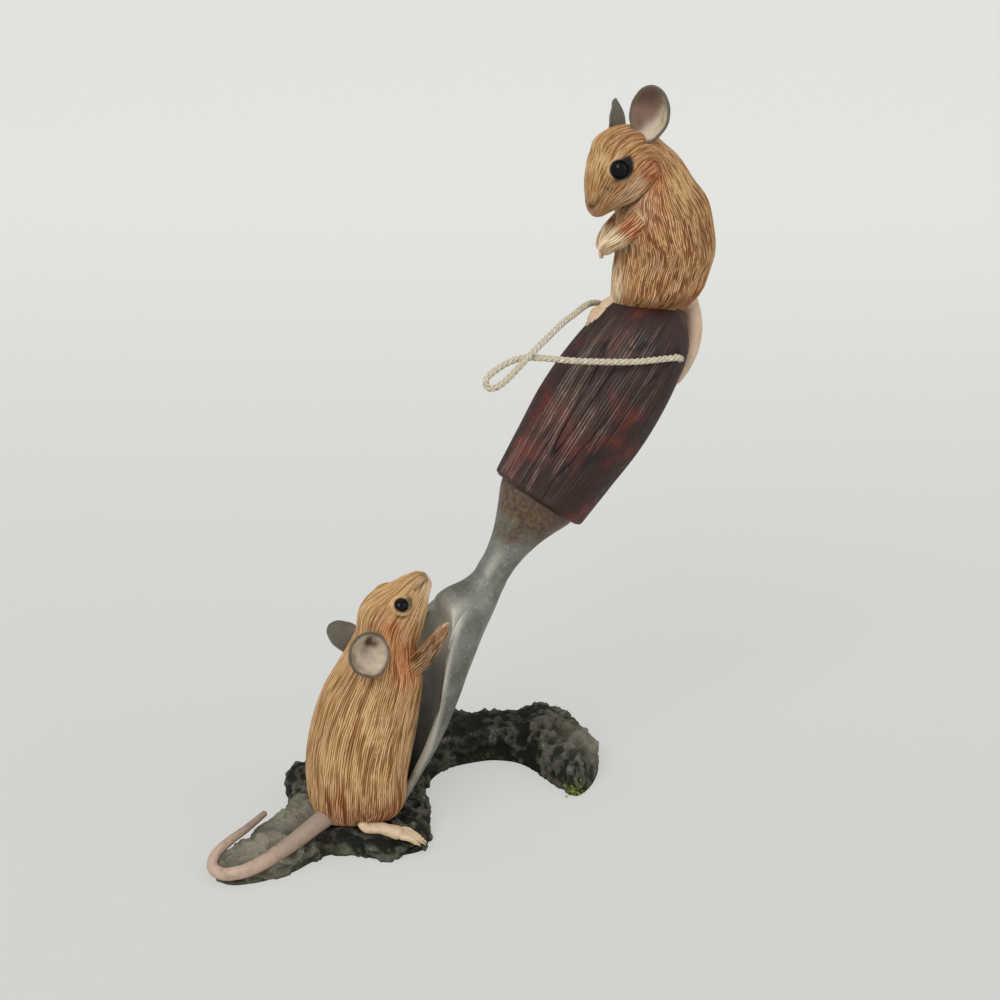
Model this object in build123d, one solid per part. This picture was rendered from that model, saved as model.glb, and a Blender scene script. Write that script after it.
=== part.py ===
from build123d import *
import os
from math import sin, cos, tan, radians, pi

# Two field mice on a garden trowel that stands in a clod of earth, as a cold-cast ornament.
# Millimetres, +Z up. The origin is on the flat underside, below the point of the blade.
# The trowel leans towards +X, and the plane Y = 0 is the plane that it leans in.
# The upper mouse faces -X and looks down, and the lower mouse faces +X and looks up.

# The clod of earth
earth_length = 134.0
earth_depth = 66.0
clod_height = 13.0
tip_height = 6.5
tang_depth = 4.5

# The blade of the trowel
blade_length = 81.0
blade_width = 34.0
blade_wall = 2.2
blade_lean = 23.8

# The neck and socket
neck_length = 27.4
neck_lean = 34.4
waist_diameter = 10.4
socket_diameter = 25.0

# The wooden handle
handle_lean = 36.5
handle_length = 71.0
handle_end_diameter = 30.4
handle_belly_diameter = 35.8
handle_edge = 1.0

# The dowel between the socket and the handle
dowel_diameter = 5.0
dowel_length = 28.0
fit_gap = 0.1

# The cord and its hole through the handle
cord_diameter = 2.0
cord_gap = 0.3
cord_hole_turn = 19.3
cord_hole_share = 0.815

# The mice
upper_height = 56.0
lower_height = 78.0
ear_wall = 1.1
ear_dish = 3.2
upper_ear_width = 12.7
upper_ear_height = 16.5
lower_ear_width = 14.5
lower_ear_height = 13.5
upper_eye_diameter = 6.4
lower_eye_diameter = 5.6
arm_diameter = 6.4
foot_width = 7.6
upper_foot_length = 17.0
lower_foot_length = 18.0
toe_diameter = 2.0
tail_root_diameter = 5.9
tail_tip_diameter = 1.8

# Spare length of a cutter past what it cuts
overrun = 6.0


# Shapes that several pieces share

def lean_direction(lean):
    """Unit vector that leans from upright towards +X by an angle in degrees."""
    return Vector(sin(radians(lean)), 0, cos(radians(lean)))


def leaning_plane(point, lean):
    """Plane square to a leaning axis, with its own Y along the part's Y."""
    across = Vector(cos(radians(lean)), 0, -sin(radians(lean)))
    return Plane(origin=point, x_dir=across, z_dir=lean_direction(lean))


def between(table_shares, place):
    """Value at a place in a table of pairs, along straight lines."""
    for (low, low_value), (high, high_value) in zip(table_shares, table_shares[1:]):
        if place <= high:
            return low_value + (high_value - low_value) * (place - low) / (high - low)
    return table_shares[-1][1]


def leaning_loft(seat, size, section_shares):
    """Smooth body through ellipses, given as along, side, up, lean, depth and width."""
    sections = []
    for along, side, up, lean, depth, width in section_shares:
        centre = seat + Vector(along, side, up) * size
        sections.append(leaning_plane(centre, lean) * Ellipse(depth * size, width * size))
    return loft(sections)


def tapered_tube(points, diameters):
    """Smooth tapering tube through points, with a round section at each of them."""
    sections = []
    for index, (point, diameter) in enumerate(zip(points, diameters)):
        before = points[max(index - 1, 0)]
        after = points[min(index + 1, len(points) - 1)]
        sections.append(Plane(origin=point, z_dir=after - before) * Circle(diameter / 2))
    return loft(sections)


def places(seat, size, place_shares):
    """Points given as shares of a size from a seat."""
    return [seat + Vector(*share) * size for share in place_shares]


def main_solid(shape):
    """The largest solid of a cut shape, without the crumbs that a cut may leave."""
    return max(shape.solids(), key=lambda solid: solid.volume)


# Places along the trowel
blade_tip = Vector(0, 0, tip_height)
waist = blade_tip + lean_direction(blade_lean) * blade_length
socket_mouth = waist + lean_direction(neck_lean) * neck_length
handle_axis = lean_direction(handle_lean)
handle_frame = leaning_plane(socket_mouth, handle_lean)
upper_seat = socket_mouth + handle_axis * handle_length
lower_seat_share = -0.148
lower_seat = Vector(lower_seat_share * blade_length, 0, tip_height)


# The handle: a turned barrel with a rounded end, where the upper mouse sits

# Share of the length from the socket, radius as a share of the largest
barrel_shares = [
    (0.0, handle_end_diameter / handle_belly_diameter),
    (0.20, 0.925),
    (0.42, 1.0),
    (0.60, 0.980),
    (0.74, 0.910),
    (0.84, 0.830),
    (0.91, 0.700),
    (0.97, 0.480),
    (1.01, 0.250),
    (1.022, 0.0),
]


def handle_radius(share):
    """Radius of the barrel at a share of its length from the socket."""
    return between(barrel_shares, share) * handle_belly_diameter / 2


def handle_point(share, angle, stand_off):
    """Point at a share of the handle's length, round it by an angle, off its surface."""
    centre = socket_mouth + handle_axis * (share * handle_length)
    across = handle_frame.x_dir * cos(radians(angle)) + Vector(0, sin(radians(angle)), 0)
    return centre + across * (handle_radius(share) + stand_off)


def make_handle():
    side = [(handle_radius(share), share * handle_length) for share, width in barrel_shares]
    start_slope = Vector(side[1]) - Vector(side[0])
    profile = Spline(side, tangents=[start_slope, (-1, 0)])
    outline = make_face([Line((0, 0), side[0]), profile, Line(side[-1], (0, 0))])
    barrel = handle_frame.location * revolve(Plane.XZ * outline, Axis.Z)
    bottom = barrel.faces().filter_by(GeomType.PLANE).sort_by(Axis.Z)[0]
    barrel = fillet(bottom.edges(), handle_edge)
    bore = handle_frame.location * Cylinder(dowel_diameter / 2 + fit_gap, dowel_length + 2 * fit_gap)
    hole = hole_plane * Cylinder(cord_diameter / 2 + cord_gap, handle_belly_diameter * 2)
    return main_solid(barrel - bore - hole)


# The cord hole crosses the handle's axis, turned from square to the plane of the lean
hole_centre = socket_mouth + handle_axis * (cord_hole_share * handle_length)
hole_axis = (
    handle_frame.x_dir * sin(radians(cord_hole_turn)) - Vector(0, cos(radians(cord_hole_turn)), 0)
)
hole_plane = Plane(origin=hole_centre, z_dir=hole_axis)


# The blade: a leaf-shaped trough that closes into a round neck and flares into the socket

# Station along the blade, outer radius, half angle of the arc, rise of the back behind the axis
trough_shares = [
    (-0.02, 0.146, 145, 0.146),
    (0.045, 0.175, 128, 0.140),
    (0.10, 0.235, 111, 0.128),
    (0.16, 0.310, 103, 0.112),
    (0.24, 0.380, 96, 0.100),
    (0.35, 0.455, 82, 0.090),
    (0.50, 0.550, 65, 0.090),
    (0.64, 0.540, 57, 0.078),
    (0.77, 0.430, 52, 0.050),
    (0.89, 0.290, 47, 0.026),
    (1.00, 0.165, 42, 0.010),
]
# The same for the hollow near the neck, where the wall is thick
hollow_shares = [
    (0.05, 0.05, 90, -0.120),
    (0.12, 0.11, 90, -0.060),
    (0.22, 0.275, 94, 0.030),
]
flare_shares = [(0.0, 0.0), (0.2, 0.01), (0.35, 0.10), (0.5, 0.25), (0.75, 0.60), (1.0, 1.0)]


def arc_points(centre, radius, half_angle):
    """Ends and middle of an arc that is open towards -X of its plane."""
    turn = radians(half_angle)
    end_x = centre + radius * cos(turn)
    end_y = radius * sin(turn)
    return (end_x, -end_y), (centre + radius, 0), (end_x, end_y)


def trough_sections(rows, wall, reach):
    """Faces across the blade: an arc at the back, closed by a chord or a mouth."""
    faces = []
    for station, radius_share, half_angle, rise_share in rows:
        radius = radius_share * blade_width - wall
        rise = rise_share * blade_width - wall
        plane = leaning_plane(waist - lean_direction(blade_lean) * (station * blade_length), blade_lean)
        start, middle, end = arc_points(rise - radius, radius, half_angle)
        edges = [ThreePointArc(start, middle, end)]
        if reach > 0:
            front = min(start[0], rise - radius) - reach
            edges.append(Line(end, (front, end[1])))
            edges.append(Line((front, end[1]), (front, start[1])))
            edges.append(Line((front, start[1]), start))
        else:
            edges.append(Line(end, start))
        faces.append(plane * make_face(edges))
    return faces


def make_blade():
    tang_station = 1 + tang_depth / cos(radians(blade_lean)) / blade_length
    tang_shares = (tang_station, *trough_shares[-1][1:])
    outer = loft(trough_sections(trough_shares + [tang_shares], 0, 0))
    deep_shares = [row for row in trough_shares if row[0] > hollow_shares[-1][0]]
    tang_end_shares = (tang_station + overrun / blade_length, *trough_shares[-1][1:])
    near = trough_sections(hollow_shares, 0, blade_width)
    far = trough_sections(deep_shares + [tang_end_shares], blade_wall, blade_width)
    trough = outer - loft(near + far)
    circles = []
    for share, rise in flare_shares:
        lean = blade_lean + (handle_lean - blade_lean) * share
        centre = waist + (socket_mouth - waist) * share
        diameter = waist_diameter + (socket_diameter - waist_diameter) * rise
        circles.append(leaning_plane(centre, lean) * Circle(diameter / 2))
    neck = loft(circles)
    bore = handle_frame.location * Cylinder(dowel_diameter / 2 + fit_gap, dowel_length + 2 * fit_gap)
    return main_solid(trough + neck - bore)


def make_dowel():
    return handle_frame.location * Cylinder(dowel_diameter / 2, dowel_length)


# The clod of earth: a horseshoe of low mounds, cut flat below

# Place of each mound along and across, half sizes along and across, height and turn in degrees
mound_shares = [
    (-0.335, -0.025, 0.130, 0.165, 0.60, 14),
    (-0.240, 0.06, 0.110, 0.190, 0.66, 10),
    (-0.105, 0.24, 0.100, 0.390, 0.81, 12),
    (-0.020, -0.05, 0.100, 0.200, 0.55, 0),
    (0.060, 0.30, 0.090, 0.280, 0.72, -20),
    (0.190, 0.60, 0.160, 0.200, 0.97, 16),
    (0.350, 0.68, 0.120, 0.185, 0.86, 0),
    (0.500, 0.50, 0.105, 0.300, 1.00, 20),
    (0.500, 0.18, 0.072, 0.260, 0.94, -10),
]
mound_profile_shares = [(0.0, 1.0), (0.55, 0.93), (0.85, 0.78), (1.0, 0.60)]


def make_mound(along, across, half_length, half_depth, height, turn):
    sections = []
    for rise, width in mound_profile_shares:
        ellipse = Ellipse(half_length * earth_length * width, half_depth * earth_depth * width)
        level = Pos(along * earth_length, across * earth_depth, rise * height * clod_height)
        sections.append(level * Rot(0, 0, turn) * ellipse)
    return loft(sections)


def make_earth():
    mounds = [make_mound(*row) for row in mound_shares]
    return mounds[0].fuse(*mounds[1:])


# The mice: each is a body, a head, two dished ears, two bead eyes, arms, feet and a tail

upper_body_shares = [
    (-0.240, 0.100, -0.270, 0, 0.110, 0.120),
    (-0.140, 0.065, -0.120, 0, 0.175, 0.155),
    (-0.068, 0.030, 0.000, 0, 0.230, 0.188),
    (-0.060, 0, 0.070, 0, 0.243, 0.238),
    (-0.035, 0, 0.177, 0, 0.260, 0.254),
    (-0.010, 0, 0.304, 0, 0.272, 0.250),
    (-0.026, 0, 0.412, -6, 0.272, 0.234),
    (-0.046, 0, 0.490, -14, 0.260, 0.218),
    (-0.086, 0, 0.580, -26, 0.214, 0.190),
    (-0.107, 0, 0.660, -38, 0.160, 0.162),
    (-0.150, 0, 0.740, -50, 0.110, 0.120),
]
upper_head_shares = [
    (-0.143, 0, 0.852, -128, 0.110, 0.115),
    (-0.197, 0, 0.820, -131, 0.175, 0.176),
    (-0.258, 0, 0.767, -140, 0.200, 0.192),
    (-0.358, 0, 0.636, -150, 0.142, 0.142),
    (-0.415, 0, 0.546, -155, 0.074, 0.076),
    (-0.442, 0, 0.490, -158, 0.026, 0.028),
]
lower_body_shares = [
    (0.000, 0, -0.030, 0, 0.085, 0.085),
    (-0.006, 0, 0.040, 0, 0.132, 0.128),
    (-0.006, 0, 0.105, 0, 0.173, 0.175),
    (0.000, 0, 0.224, 0, 0.198, 0.202),
    (0.026, 0, 0.378, 6, 0.205, 0.202),
    (0.066, 0, 0.520, 14, 0.193, 0.188),
    (0.116, 0, 0.647, 18, 0.163, 0.160),
    (0.146, 0, 0.750, 24, 0.124, 0.128),
    (0.165, 0, 0.815, 30, 0.085, 0.090),
]
lower_head_shares = [
    (0.080, 0, 0.745, 40, 0.080, 0.085),
    (0.125, 0, 0.810, 41, 0.122, 0.130),
    (0.186, 0, 0.880, 41, 0.116, 0.126),
    (0.240, 0, 0.940, 41, 0.086, 0.090),
    (0.282, 0, 0.986, 41, 0.048, 0.050),
    (0.306, 0, 1.012, 41, 0.018, 0.018),
]


def make_ear(centre, facing, width, height):
    """Thin round dish, open towards where it faces, with its rim upright."""
    dish_radius = (width * width / 4 + ear_dish * ear_dish) / (2 * ear_dish)
    plane = Plane(origin=centre, x_dir=Vector(0, 0, 1).cross(facing), z_dir=facing)
    bowl = Sphere(dish_radius) - Sphere(dish_radius - ear_wall)
    bowl = Pos(0, 0, dish_radius - ear_dish) * bowl
    column = extrude(Ellipse(width / 2, height / 2), ear_dish, both=True)
    return plane.location * (bowl & column)


def make_foot(heel, toward, length, width):
    """Long flat foot with a fan of toes at its front."""
    forward = toward.normalized()
    side = forward.cross(Vector(0, 0, 1)).normalized()
    stations = [heel + forward * (length * share) for share in foot_station_shares]
    foot = tapered_tube(stations, [width * share for share in foot_width_shares])
    ball = stations[-1]
    toes = []
    for spread in toe_spread_shares:
        root = ball - forward * toe_diameter + side * (spread * width / 2)
        tip = ball + forward * (length * toe_share) + side * (spread * width * toe_fan_share)
        tip = tip - Vector(0, 0, toe_diameter / 2)
        middle = (root + tip) / 2
        toe_path = [root, middle, tip]
        toes.append(tapered_tube(toe_path, [toe_diameter * share for share in toe_taper_shares]))
    return foot.fuse(*toes)


def make_feet(foot_shares, seat, size, length):
    """Pair of hind feet, the one nearer -Y first."""
    return [
        make_foot(seat + Vector(*place) * size, Vector(*toward), length, foot_width)
        for place, toward in foot_shares
    ]


foot_station_shares = [0.0, 0.2, 0.45, 0.68]
foot_width_shares = [0.75, 0.95, 0.85, 0.70]
toe_spread_shares = [-0.6, -0.2, 0.2, 0.6]
toe_share = 0.30
toe_fan_share = 0.48
toe_taper_shares = [1.1, 1.0, 0.7]


def mirrored(point):
    """The same place on the far side of the plane of the lean."""
    return Vector(point.X, -point.Y, point.Z)


def make_ears(ear_shares, seat, size, width, height):
    """Pair of ears, the one nearer -Y first, from their places and the ways they face."""
    return [
        make_ear(seat + Vector(*place) * size, Vector(*facing), width, height)
        for place, facing in ear_shares
    ]


def make_eyes(centre_share, seat, size, diameter):
    """Pair of round glass beads, the one nearer -Y first."""
    centre = seat + Vector(*centre_share) * size
    bead = Sphere(diameter / 2)
    return Location(centre) * bead, Location(mirrored(centre)) * bead


def make_arms(place_shares, seat, size, held_back):
    """Pair of forelegs with round paws, the one nearer -Y first."""
    points = places(seat, size, place_shares)
    far_points = [mirrored(point) + held_back for point in points]
    widths = [arm_diameter * share for share in arm_taper_shares]
    return tapered_tube(points, widths), tapered_tube(far_points, widths)


arm_taper_shares = [1.25, 1.1, 0.8, 0.72, 0.4]
# The upper mouse holds its far paw a little behind the near one
far_arm_shift = 2.0

upper_eye_share = (-0.366, -0.130, 0.750)
lower_eye_share = (0.160, -0.084, 0.936)
upper_ear_shares = [
    ((-0.210, -0.134, 1.014), (-0.75, -0.62, 0.15)),
    ((-0.262, 0.161, 0.922), (-0.79, 0.61, 0.05)),
]
lower_ear_shares = [
    ((0.019, -0.146, 0.782), (0.35, -0.85, 0.40)),
    ((0.021, 0.105, 0.745), (0.75, 0.60, 0.30)),
]
upper_arm_shares = [
    (-0.16, -0.13, 0.52),
    (-0.28, -0.12, 0.42),
    (-0.36, -0.08, 0.36),
    (-0.41, -0.05, 0.33),
    (-0.44, -0.04, 0.29),
]
lower_arm_shares = [
    (0.16, -0.13, 0.64),
    (0.20, -0.17, 0.71),
    (0.24, -0.195, 0.78),
    (0.28, -0.200, 0.84),
    (0.31, -0.200, 0.88),
]


# Tails

def make_lower_tail():
    points = places(Vector(0, 0, tip_height), earth_length, lower_tail_shares)
    count = len(points) - 1
    fall = tail_root_diameter - tail_tip_diameter
    return tapered_tube(points, [tail_root_diameter - fall * index / count for index in range(count + 1)])


lower_tail_shares = [
    (-0.155, -0.035, 0.062),
    (-0.211, -0.048, 0.041),
    (-0.255, -0.055, 0.020),
    (-0.303, -0.066, 0.004),
    (-0.350, -0.076, -0.008),
    (-0.393, -0.078, -0.015),
    (-0.429, -0.060, -0.020),
    (-0.441, -0.022, -0.020),
    (-0.425, 0.008, -0.011),
    (-0.388, 0.030, 0.001),
    (-0.346, 0.046, 0.012),
    (-0.286, 0.078, 0.026),
]

# The upper tail drops off the rump, then winds round the handle:
# share of the handle's length and angle round it at each place
upper_tail_shares = [(0.84, -4), (0.77, 0), (0.705, 14), (0.655, 38), (0.63, 68), (0.625, 98)]


def make_upper_tail():
    root = places(upper_seat, upper_height, tail_root_shares)
    count = len(root + upper_tail_shares)
    fall = (tail_root_diameter - tail_tip_diameter) / count
    widths = [tail_root_diameter - fall * index for index in range(count)]
    round_handle = [
        handle_point(share, angle, width / 2)
        for (share, angle), width in zip(upper_tail_shares, widths[len(root):])
    ]
    return tapered_tube(root + round_handle, widths)


tail_root_shares = [(0.120, 0, 0.040), (0.160, 0, -0.060), (0.176, -0.01, -0.170)]


# The hanging cord, stiff enough to stand out from the handle in a loop

cord_route = [
    Vector(77.1, -18.3, 148.1),
    Vector(70.4, -17.8, 148.1),
    Vector(62.7, -15.8, 148.5),
    Vector(53.6, -13.2, 149.1),
    Vector(45.2, -10.8, 150.3),
    Vector(38.7, -9.0, 150.9),
    Vector(34.1, -8.2, 149.4),
    Vector(30.5, -7.9, 147.4),
    Vector(27.5, -8.2, 145.5),
    Vector(27.8, -8.9, 142.6),
    Vector(30.6, -9.6, 142.8),
    Vector(33.7, -10.4, 145.3),
    Vector(37.1, -11.2, 149.0),
    Vector(41.3, -11.0, 152.6),
    Vector(47.7, -7.5, 155.5),
    Vector(54.6, -2.5, 157.8),
    Vector(62.4, 3.5, 159.0),
    Vector(69.0, 10.0, 159.4),
    Vector(74.6, 14.9, 158.4),
]

# Distances of the cord's first points from the hole's centre, as shares of the radius there
exit_shares = [0.86, 1.12]


def make_cord():
    mouth = handle_radius(cord_hole_share)
    out = [hole_centre + hole_axis * (mouth * share) for share in exit_shares]
    back = [hole_centre - hole_axis * (mouth * share) for share in reversed(exit_shares)]
    route = out + cord_start_bend + cord_route + cord_end_bend + back
    radii = []
    for before, point, after in zip(route, route[1:], route[2:]):
        turn = radians((point - before).get_angle(after - point))
        shorter_run = min((point - before).length, (after - point).length)
        radii.append(arc_share * shorter_run / tan(turn / 2))
    path = FilletPolyline(*route, radius=radii)
    cord = sweep(Plane(origin=path @ 0, z_dir=path % 0) * Circle(cord_diameter / 2), path=path)
    section = pi * cord_diameter * cord_diameter / 4
    print("cord length", round(path.length, 1), "radii", [round(radius, 1) for radius in radii])
    print("cord volume over section times length", round(cord.volume / (section * path.length), 4))
    return cord


cord_start_bend = [Vector(85.6, -18.4, 147.9), Vector(82.2, -19.0, 148.3)]
cord_end_bend = [Vector(78.6, 17.9, 156.8)]
arc_share = 0.45


# Assembly: what stands on a piece is cut to it, so that neighbours meet face to face

parts = {}
handle = make_handle()
blade = make_blade()
lower_tail = make_lower_tail()
earth = main_solid(make_earth() - blade - lower_tail)
parts["trowel_handle"] = handle
parts["trowel_blade"] = blade
parts["handle_dowel"] = make_dowel()

upper_body = main_solid(leaning_loft(upper_seat, upper_height, upper_body_shares) - handle)
upper_head = main_solid(leaning_loft(upper_seat, upper_height, upper_head_shares) - upper_body)
lower_body = leaning_loft(lower_seat, lower_height, lower_body_shares) - blade - earth
lower_body = main_solid(lower_body)
lower_head = main_solid(leaning_loft(lower_seat, lower_height, lower_head_shares) - lower_body - blade)

upper_eyes = make_eyes(upper_eye_share, upper_seat, upper_height, upper_eye_diameter)
lower_eyes = make_eyes(lower_eye_share, lower_seat, lower_height, lower_eye_diameter)
upper_head = main_solid(upper_head - upper_eyes[0] - upper_eyes[1])
lower_head = main_solid(lower_head - lower_eyes[0] - lower_eyes[1])
upper_ears = make_ears(
    upper_ear_shares, upper_seat, upper_height, upper_ear_width, upper_ear_height
)
lower_ears = make_ears(
    lower_ear_shares, lower_seat, lower_height, lower_ear_width, lower_ear_height
)
upper_arms = make_arms(upper_arm_shares, upper_seat, upper_height, Vector(far_arm_shift, 0, 0))
lower_arms = make_arms(lower_arm_shares, lower_seat, lower_height, Vector(0, 0, 0))

# Heel of each foot and the way that it points, the one nearer -Y first
upper_foot_shares = [
    ((-0.215, 0.070, 0.045), (-0.84, 0.06, -0.52)),
    ((-0.159, 0.179, 0.004), (-0.78, 0.16, -0.61)),
]
lower_foot_shares = [
    ((-0.03, -0.17, 0.070), (0.93, -0.25, -0.30)),
    ((-0.03, 0.17, 0.070), (0.93, 0.25, -0.30)),
]
upper_feet = make_feet(upper_foot_shares, upper_seat, upper_height, upper_foot_length)
lower_feet = make_feet(lower_foot_shares, lower_seat, lower_height, lower_foot_length)

# A mouse that faces -X has its left side towards -Y, and one that faces +X its right side
upper_sides = ("left", "right")
lower_sides = ("right", "left")
mice = [
    ("upper", upper_sides, upper_body, upper_head, upper_ears, upper_eyes, upper_arms,
     upper_feet, make_upper_tail(), handle),
    ("lower", lower_sides, lower_body, lower_head, lower_ears, lower_eyes, lower_arms,
     lower_feet, lower_tail, earth),
]
for mouse, sides, body, head, ears, eyes, arms, feet, tail, ground in mice:
    parts[f"{mouse}_mouse_body"] = body
    parts[f"{mouse}_mouse_head"] = head
    for side, ear, eye, arm, foot in zip(sides, ears, eyes, arms, feet):
        parts[f"{mouse}_mouse_{side}_ear"] = main_solid(ear - head - body - eye)
        parts[f"{mouse}_mouse_{side}_eye"] = eye
        parts[f"{mouse}_mouse_{side}_arm"] = main_solid(arm - body - head - blade)
        parts[f"{mouse}_mouse_{side}_foot"] = main_solid(foot - body - ground - blade)
    parts[f"{mouse}_mouse_tail"] = main_solid(tail - body - handle)

parts["earth_base"] = earth
parts["hanging_cord"] = make_cord()

os.makedirs("parts", exist_ok=True)
for name, shape in parts.items():
    export_step(shape, f"parts/{name}.step")
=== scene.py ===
from math import cos, pi, radians, sin, tau

import bpy
import numpy as np
from mathutils import Matrix


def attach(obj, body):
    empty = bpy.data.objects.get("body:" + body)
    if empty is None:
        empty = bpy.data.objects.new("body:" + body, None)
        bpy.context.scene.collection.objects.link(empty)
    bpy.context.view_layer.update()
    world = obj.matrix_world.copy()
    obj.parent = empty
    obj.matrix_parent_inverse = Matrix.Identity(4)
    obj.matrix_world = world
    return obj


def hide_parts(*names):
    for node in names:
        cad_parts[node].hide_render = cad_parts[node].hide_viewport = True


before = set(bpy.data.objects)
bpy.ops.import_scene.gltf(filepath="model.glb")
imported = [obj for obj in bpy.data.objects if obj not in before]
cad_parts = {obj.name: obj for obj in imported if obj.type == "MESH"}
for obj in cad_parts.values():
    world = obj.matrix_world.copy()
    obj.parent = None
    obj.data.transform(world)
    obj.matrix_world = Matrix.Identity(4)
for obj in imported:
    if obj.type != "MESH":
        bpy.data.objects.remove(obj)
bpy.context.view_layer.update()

# Two field mice on a garden trowel in a clod of earth. Unless a comment says shares, tables and
# places are in millimetres, in the frame of the part: +Z up, the trowel leans towards +X, and -Y is
# the side in view.

bl_info = {
    "name": "Mouse figurine",
    "version": (1, 0, 0),
    "blender": (4, 5, 0),
    "location": "3D View > Sidebar > Figurine",
    "description": "Dresses the field mice, the trowel, the clod of earth and the cord",
    "category": "Object",
}

MM = 0.001
SIDEWAYS = np.array([0, 1.0, 0])
FLIP = np.array([1, -1, 1])
NOISE_CELLS = 64
CAP_ROWS = 9


# Curves, noise and frames

def unit(vectors):
    """Vectors divided by their lengths."""
    vectors = np.asarray(vectors, float)
    return vectors / np.maximum(np.linalg.norm(vectors, axis=-1, keepdims=True), 1e-9)


def smooth_curve(keys, values, places):
    """Cubic through the values: between two keys it has their values and their slopes, and the
    slopes are the differences over the neighbouring keys."""
    keys = np.asarray(keys, float)
    values = np.asarray(values, float).reshape(len(keys), -1)
    slopes = np.gradient(values, keys, axis=0)
    index = np.clip(np.searchsorted(keys, places, side="right") - 1, 0, len(keys) - 2)
    gap = (keys[index + 1] - keys[index])[:, None]
    t = (places - keys[index])[:, None] / gap
    start = (1 - t) ** 2 * ((1 + 2 * t) * values[index] + t * slopes[index] * gap)
    end = t ** 2 * ((3 - 2 * t) * values[index + 1] - (1 - t) * slopes[index + 1] * gap)
    return start + end


def soft_step(low, high, value):
    """0 below low, 1 above high, and the cubic step between."""
    t = np.clip((value - low) / (high - low), 0, 1)
    return t * t * (3 - 2 * t)


def lattice_noise(seed, *axes, repeats=None):
    """Smooth noise from 0 to 1: random values at whole numbers, blended by cubic steps between the
    corners of each cell. An axis repeats after its number of cells."""
    repeats = repeats or (NOISE_CELLS,) * len(axes)
    table = np.random.default_rng(seed).random(repeats)
    axes = np.broadcast_arrays(*axes)
    cells = [np.floor(axis).astype(int) for axis in axes]
    parts = [soft_step(0, 1, axis - cell) for axis, cell in zip(axes, cells)]
    total = np.zeros(axes[0].shape)
    for corner in range(2 ** len(axes)):
        weight = np.ones(axes[0].shape)
        index = []
        for k, (cell, part) in enumerate(zip(cells, parts)):
            bit = corner >> k & 1
            weight = weight * (part if bit else 1 - part)
            index.append((cell + bit) % repeats[k])
        total += weight * table[tuple(index)]
    return total


def ring_noise(seed, cells, around, along):
    """Lattice noise on a round skin: so many cells round it, and along it in its own scale."""
    return lattice_noise(seed, around * cells, along, repeats=(cells, NOISE_CELLS))


def cloud_noise(seed, points, size, octaves=3):
    """Sum of lattice noises of halving size and weight at points in space, from about -1 to 1."""
    total = np.zeros(points.shape[:-1])
    weight = 1.0
    for octave in range(octaves):
        axes = [points[..., k] / size + 7.3 * (octave + k) for k in range(3)]
        total += weight * (2 * lattice_noise(seed + octave, *axes) - 1)
        size, weight = size / 2, weight / 2
    return total


def lean_direction(lean):
    """Direction that leans from upright towards +X by an angle in degrees."""
    return np.array([sin(radians(lean)), 0, cos(radians(lean))])


def across_direction(lean):
    """Direction square to the leaning one, in the plane of the lean."""
    return np.array([cos(radians(lean)), 0, -sin(radians(lean))])


def carried_frames(path):
    """Unit tangents of a path, and two unit directions square to it that turn as little as they can
    from each point to the next."""
    tangents = unit(np.gradient(path, axis=0))
    helper = np.array([0.0, 0.0, 1.0]) if abs(tangents[0][2]) < 0.8 else np.array([0.0, 1.0, 0.0])
    side = unit(np.cross(tangents[0], helper))
    sides = []
    for tangent in tangents:
        side = unit(side - tangent * (side @ tangent))
        sides.append(side)
    sides = np.array(sides)
    return tangents, sides, np.cross(sides, tangents)


def lengths_along(points):
    """Length from the first point of a path to each of its points."""
    return np.concatenate([[0], np.cumsum(np.linalg.norm(np.diff(points, axis=0), axis=1))])


def read_along(keys, vectors, places):
    """Vectors at places along a path, on straight lines between its keys."""
    return np.stack([np.interp(places, keys, vectors[:, k]) for k in range(3)], axis=1)


def shares_round(columns):
    """Share of a full turn at each column of a grid."""
    return np.arange(columns) / columns


def rings_of(sides, lifts, columns):
    """Round sections: at each turn, its cosine along the sides and its sine along the lifts."""
    turn = shares_round(columns) * tau
    return np.cos(turn)[None, :, None] * sides[:, None] + np.sin(turn)[None, :, None] * lifts[:, None]


# Surfaces: grids of points, rows along a piece and columns round it

def path_through(points, rows):
    """Evenly spaced points on the smooth curve through the given ones."""
    points = np.asarray(points, float)
    keys = lengths_along(points)
    fine = smooth_curve(keys, points, np.linspace(0, keys[-1], rows * 4))
    length = lengths_along(fine)
    even = np.linspace(0, length[-1], rows)
    return read_along(length, fine, even), even


def rounded_ends(along, start, end):
    """Factor that closes a tube: a quarter circle over the start length and over the end length."""
    low = np.clip(along / max(start, 1e-6), 0, 1)
    high = np.clip((along[-1] - along) / max(end, 1e-6), 0, 1)
    return np.sqrt(1 - (1 - low) ** 2) * np.sqrt(1 - (1 - high) ** 2)


def end_rows(length, rows, start, end):
    """Places along a tube that crowd towards both rounded ends."""
    middle = np.linspace(start, length - end, rows)
    crowd = 1 - np.cos(np.linspace(0.03, 1, CAP_ROWS)[:-1] * pi / 2)
    return np.concatenate([start * crowd, middle, length - end * crowd[::-1]])


def tube(points, radii, rows, columns, flat=1.0, lift=None, caps=None):
    """A round profile carried along the smooth curve through the points. Its radius follows the
    radii, its height is flat times its width, and its ends are rounded."""
    path, even = path_through(points, rows * 2)
    caps = caps or (radii[0], radii[-1])
    along = end_rows(even[-1], rows, *caps)
    tangents, sides, lifts = carried_frames(path)
    if lift is not None:
        sides = unit(np.cross(tangents, lift))
        lifts = np.cross(sides, tangents)
    centre, sides, lifts = (read_along(even, vectors, along) for vectors in (path, sides, lifts))
    keys = np.linspace(0, even[-1], len(radii))
    radius = smooth_curve(keys, radii, along)[:, 0] * rounded_ends(along, *caps)
    return centre[:, None] + radius[:, None, None] * rings_of(sides, flat * lifts, columns)


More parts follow.
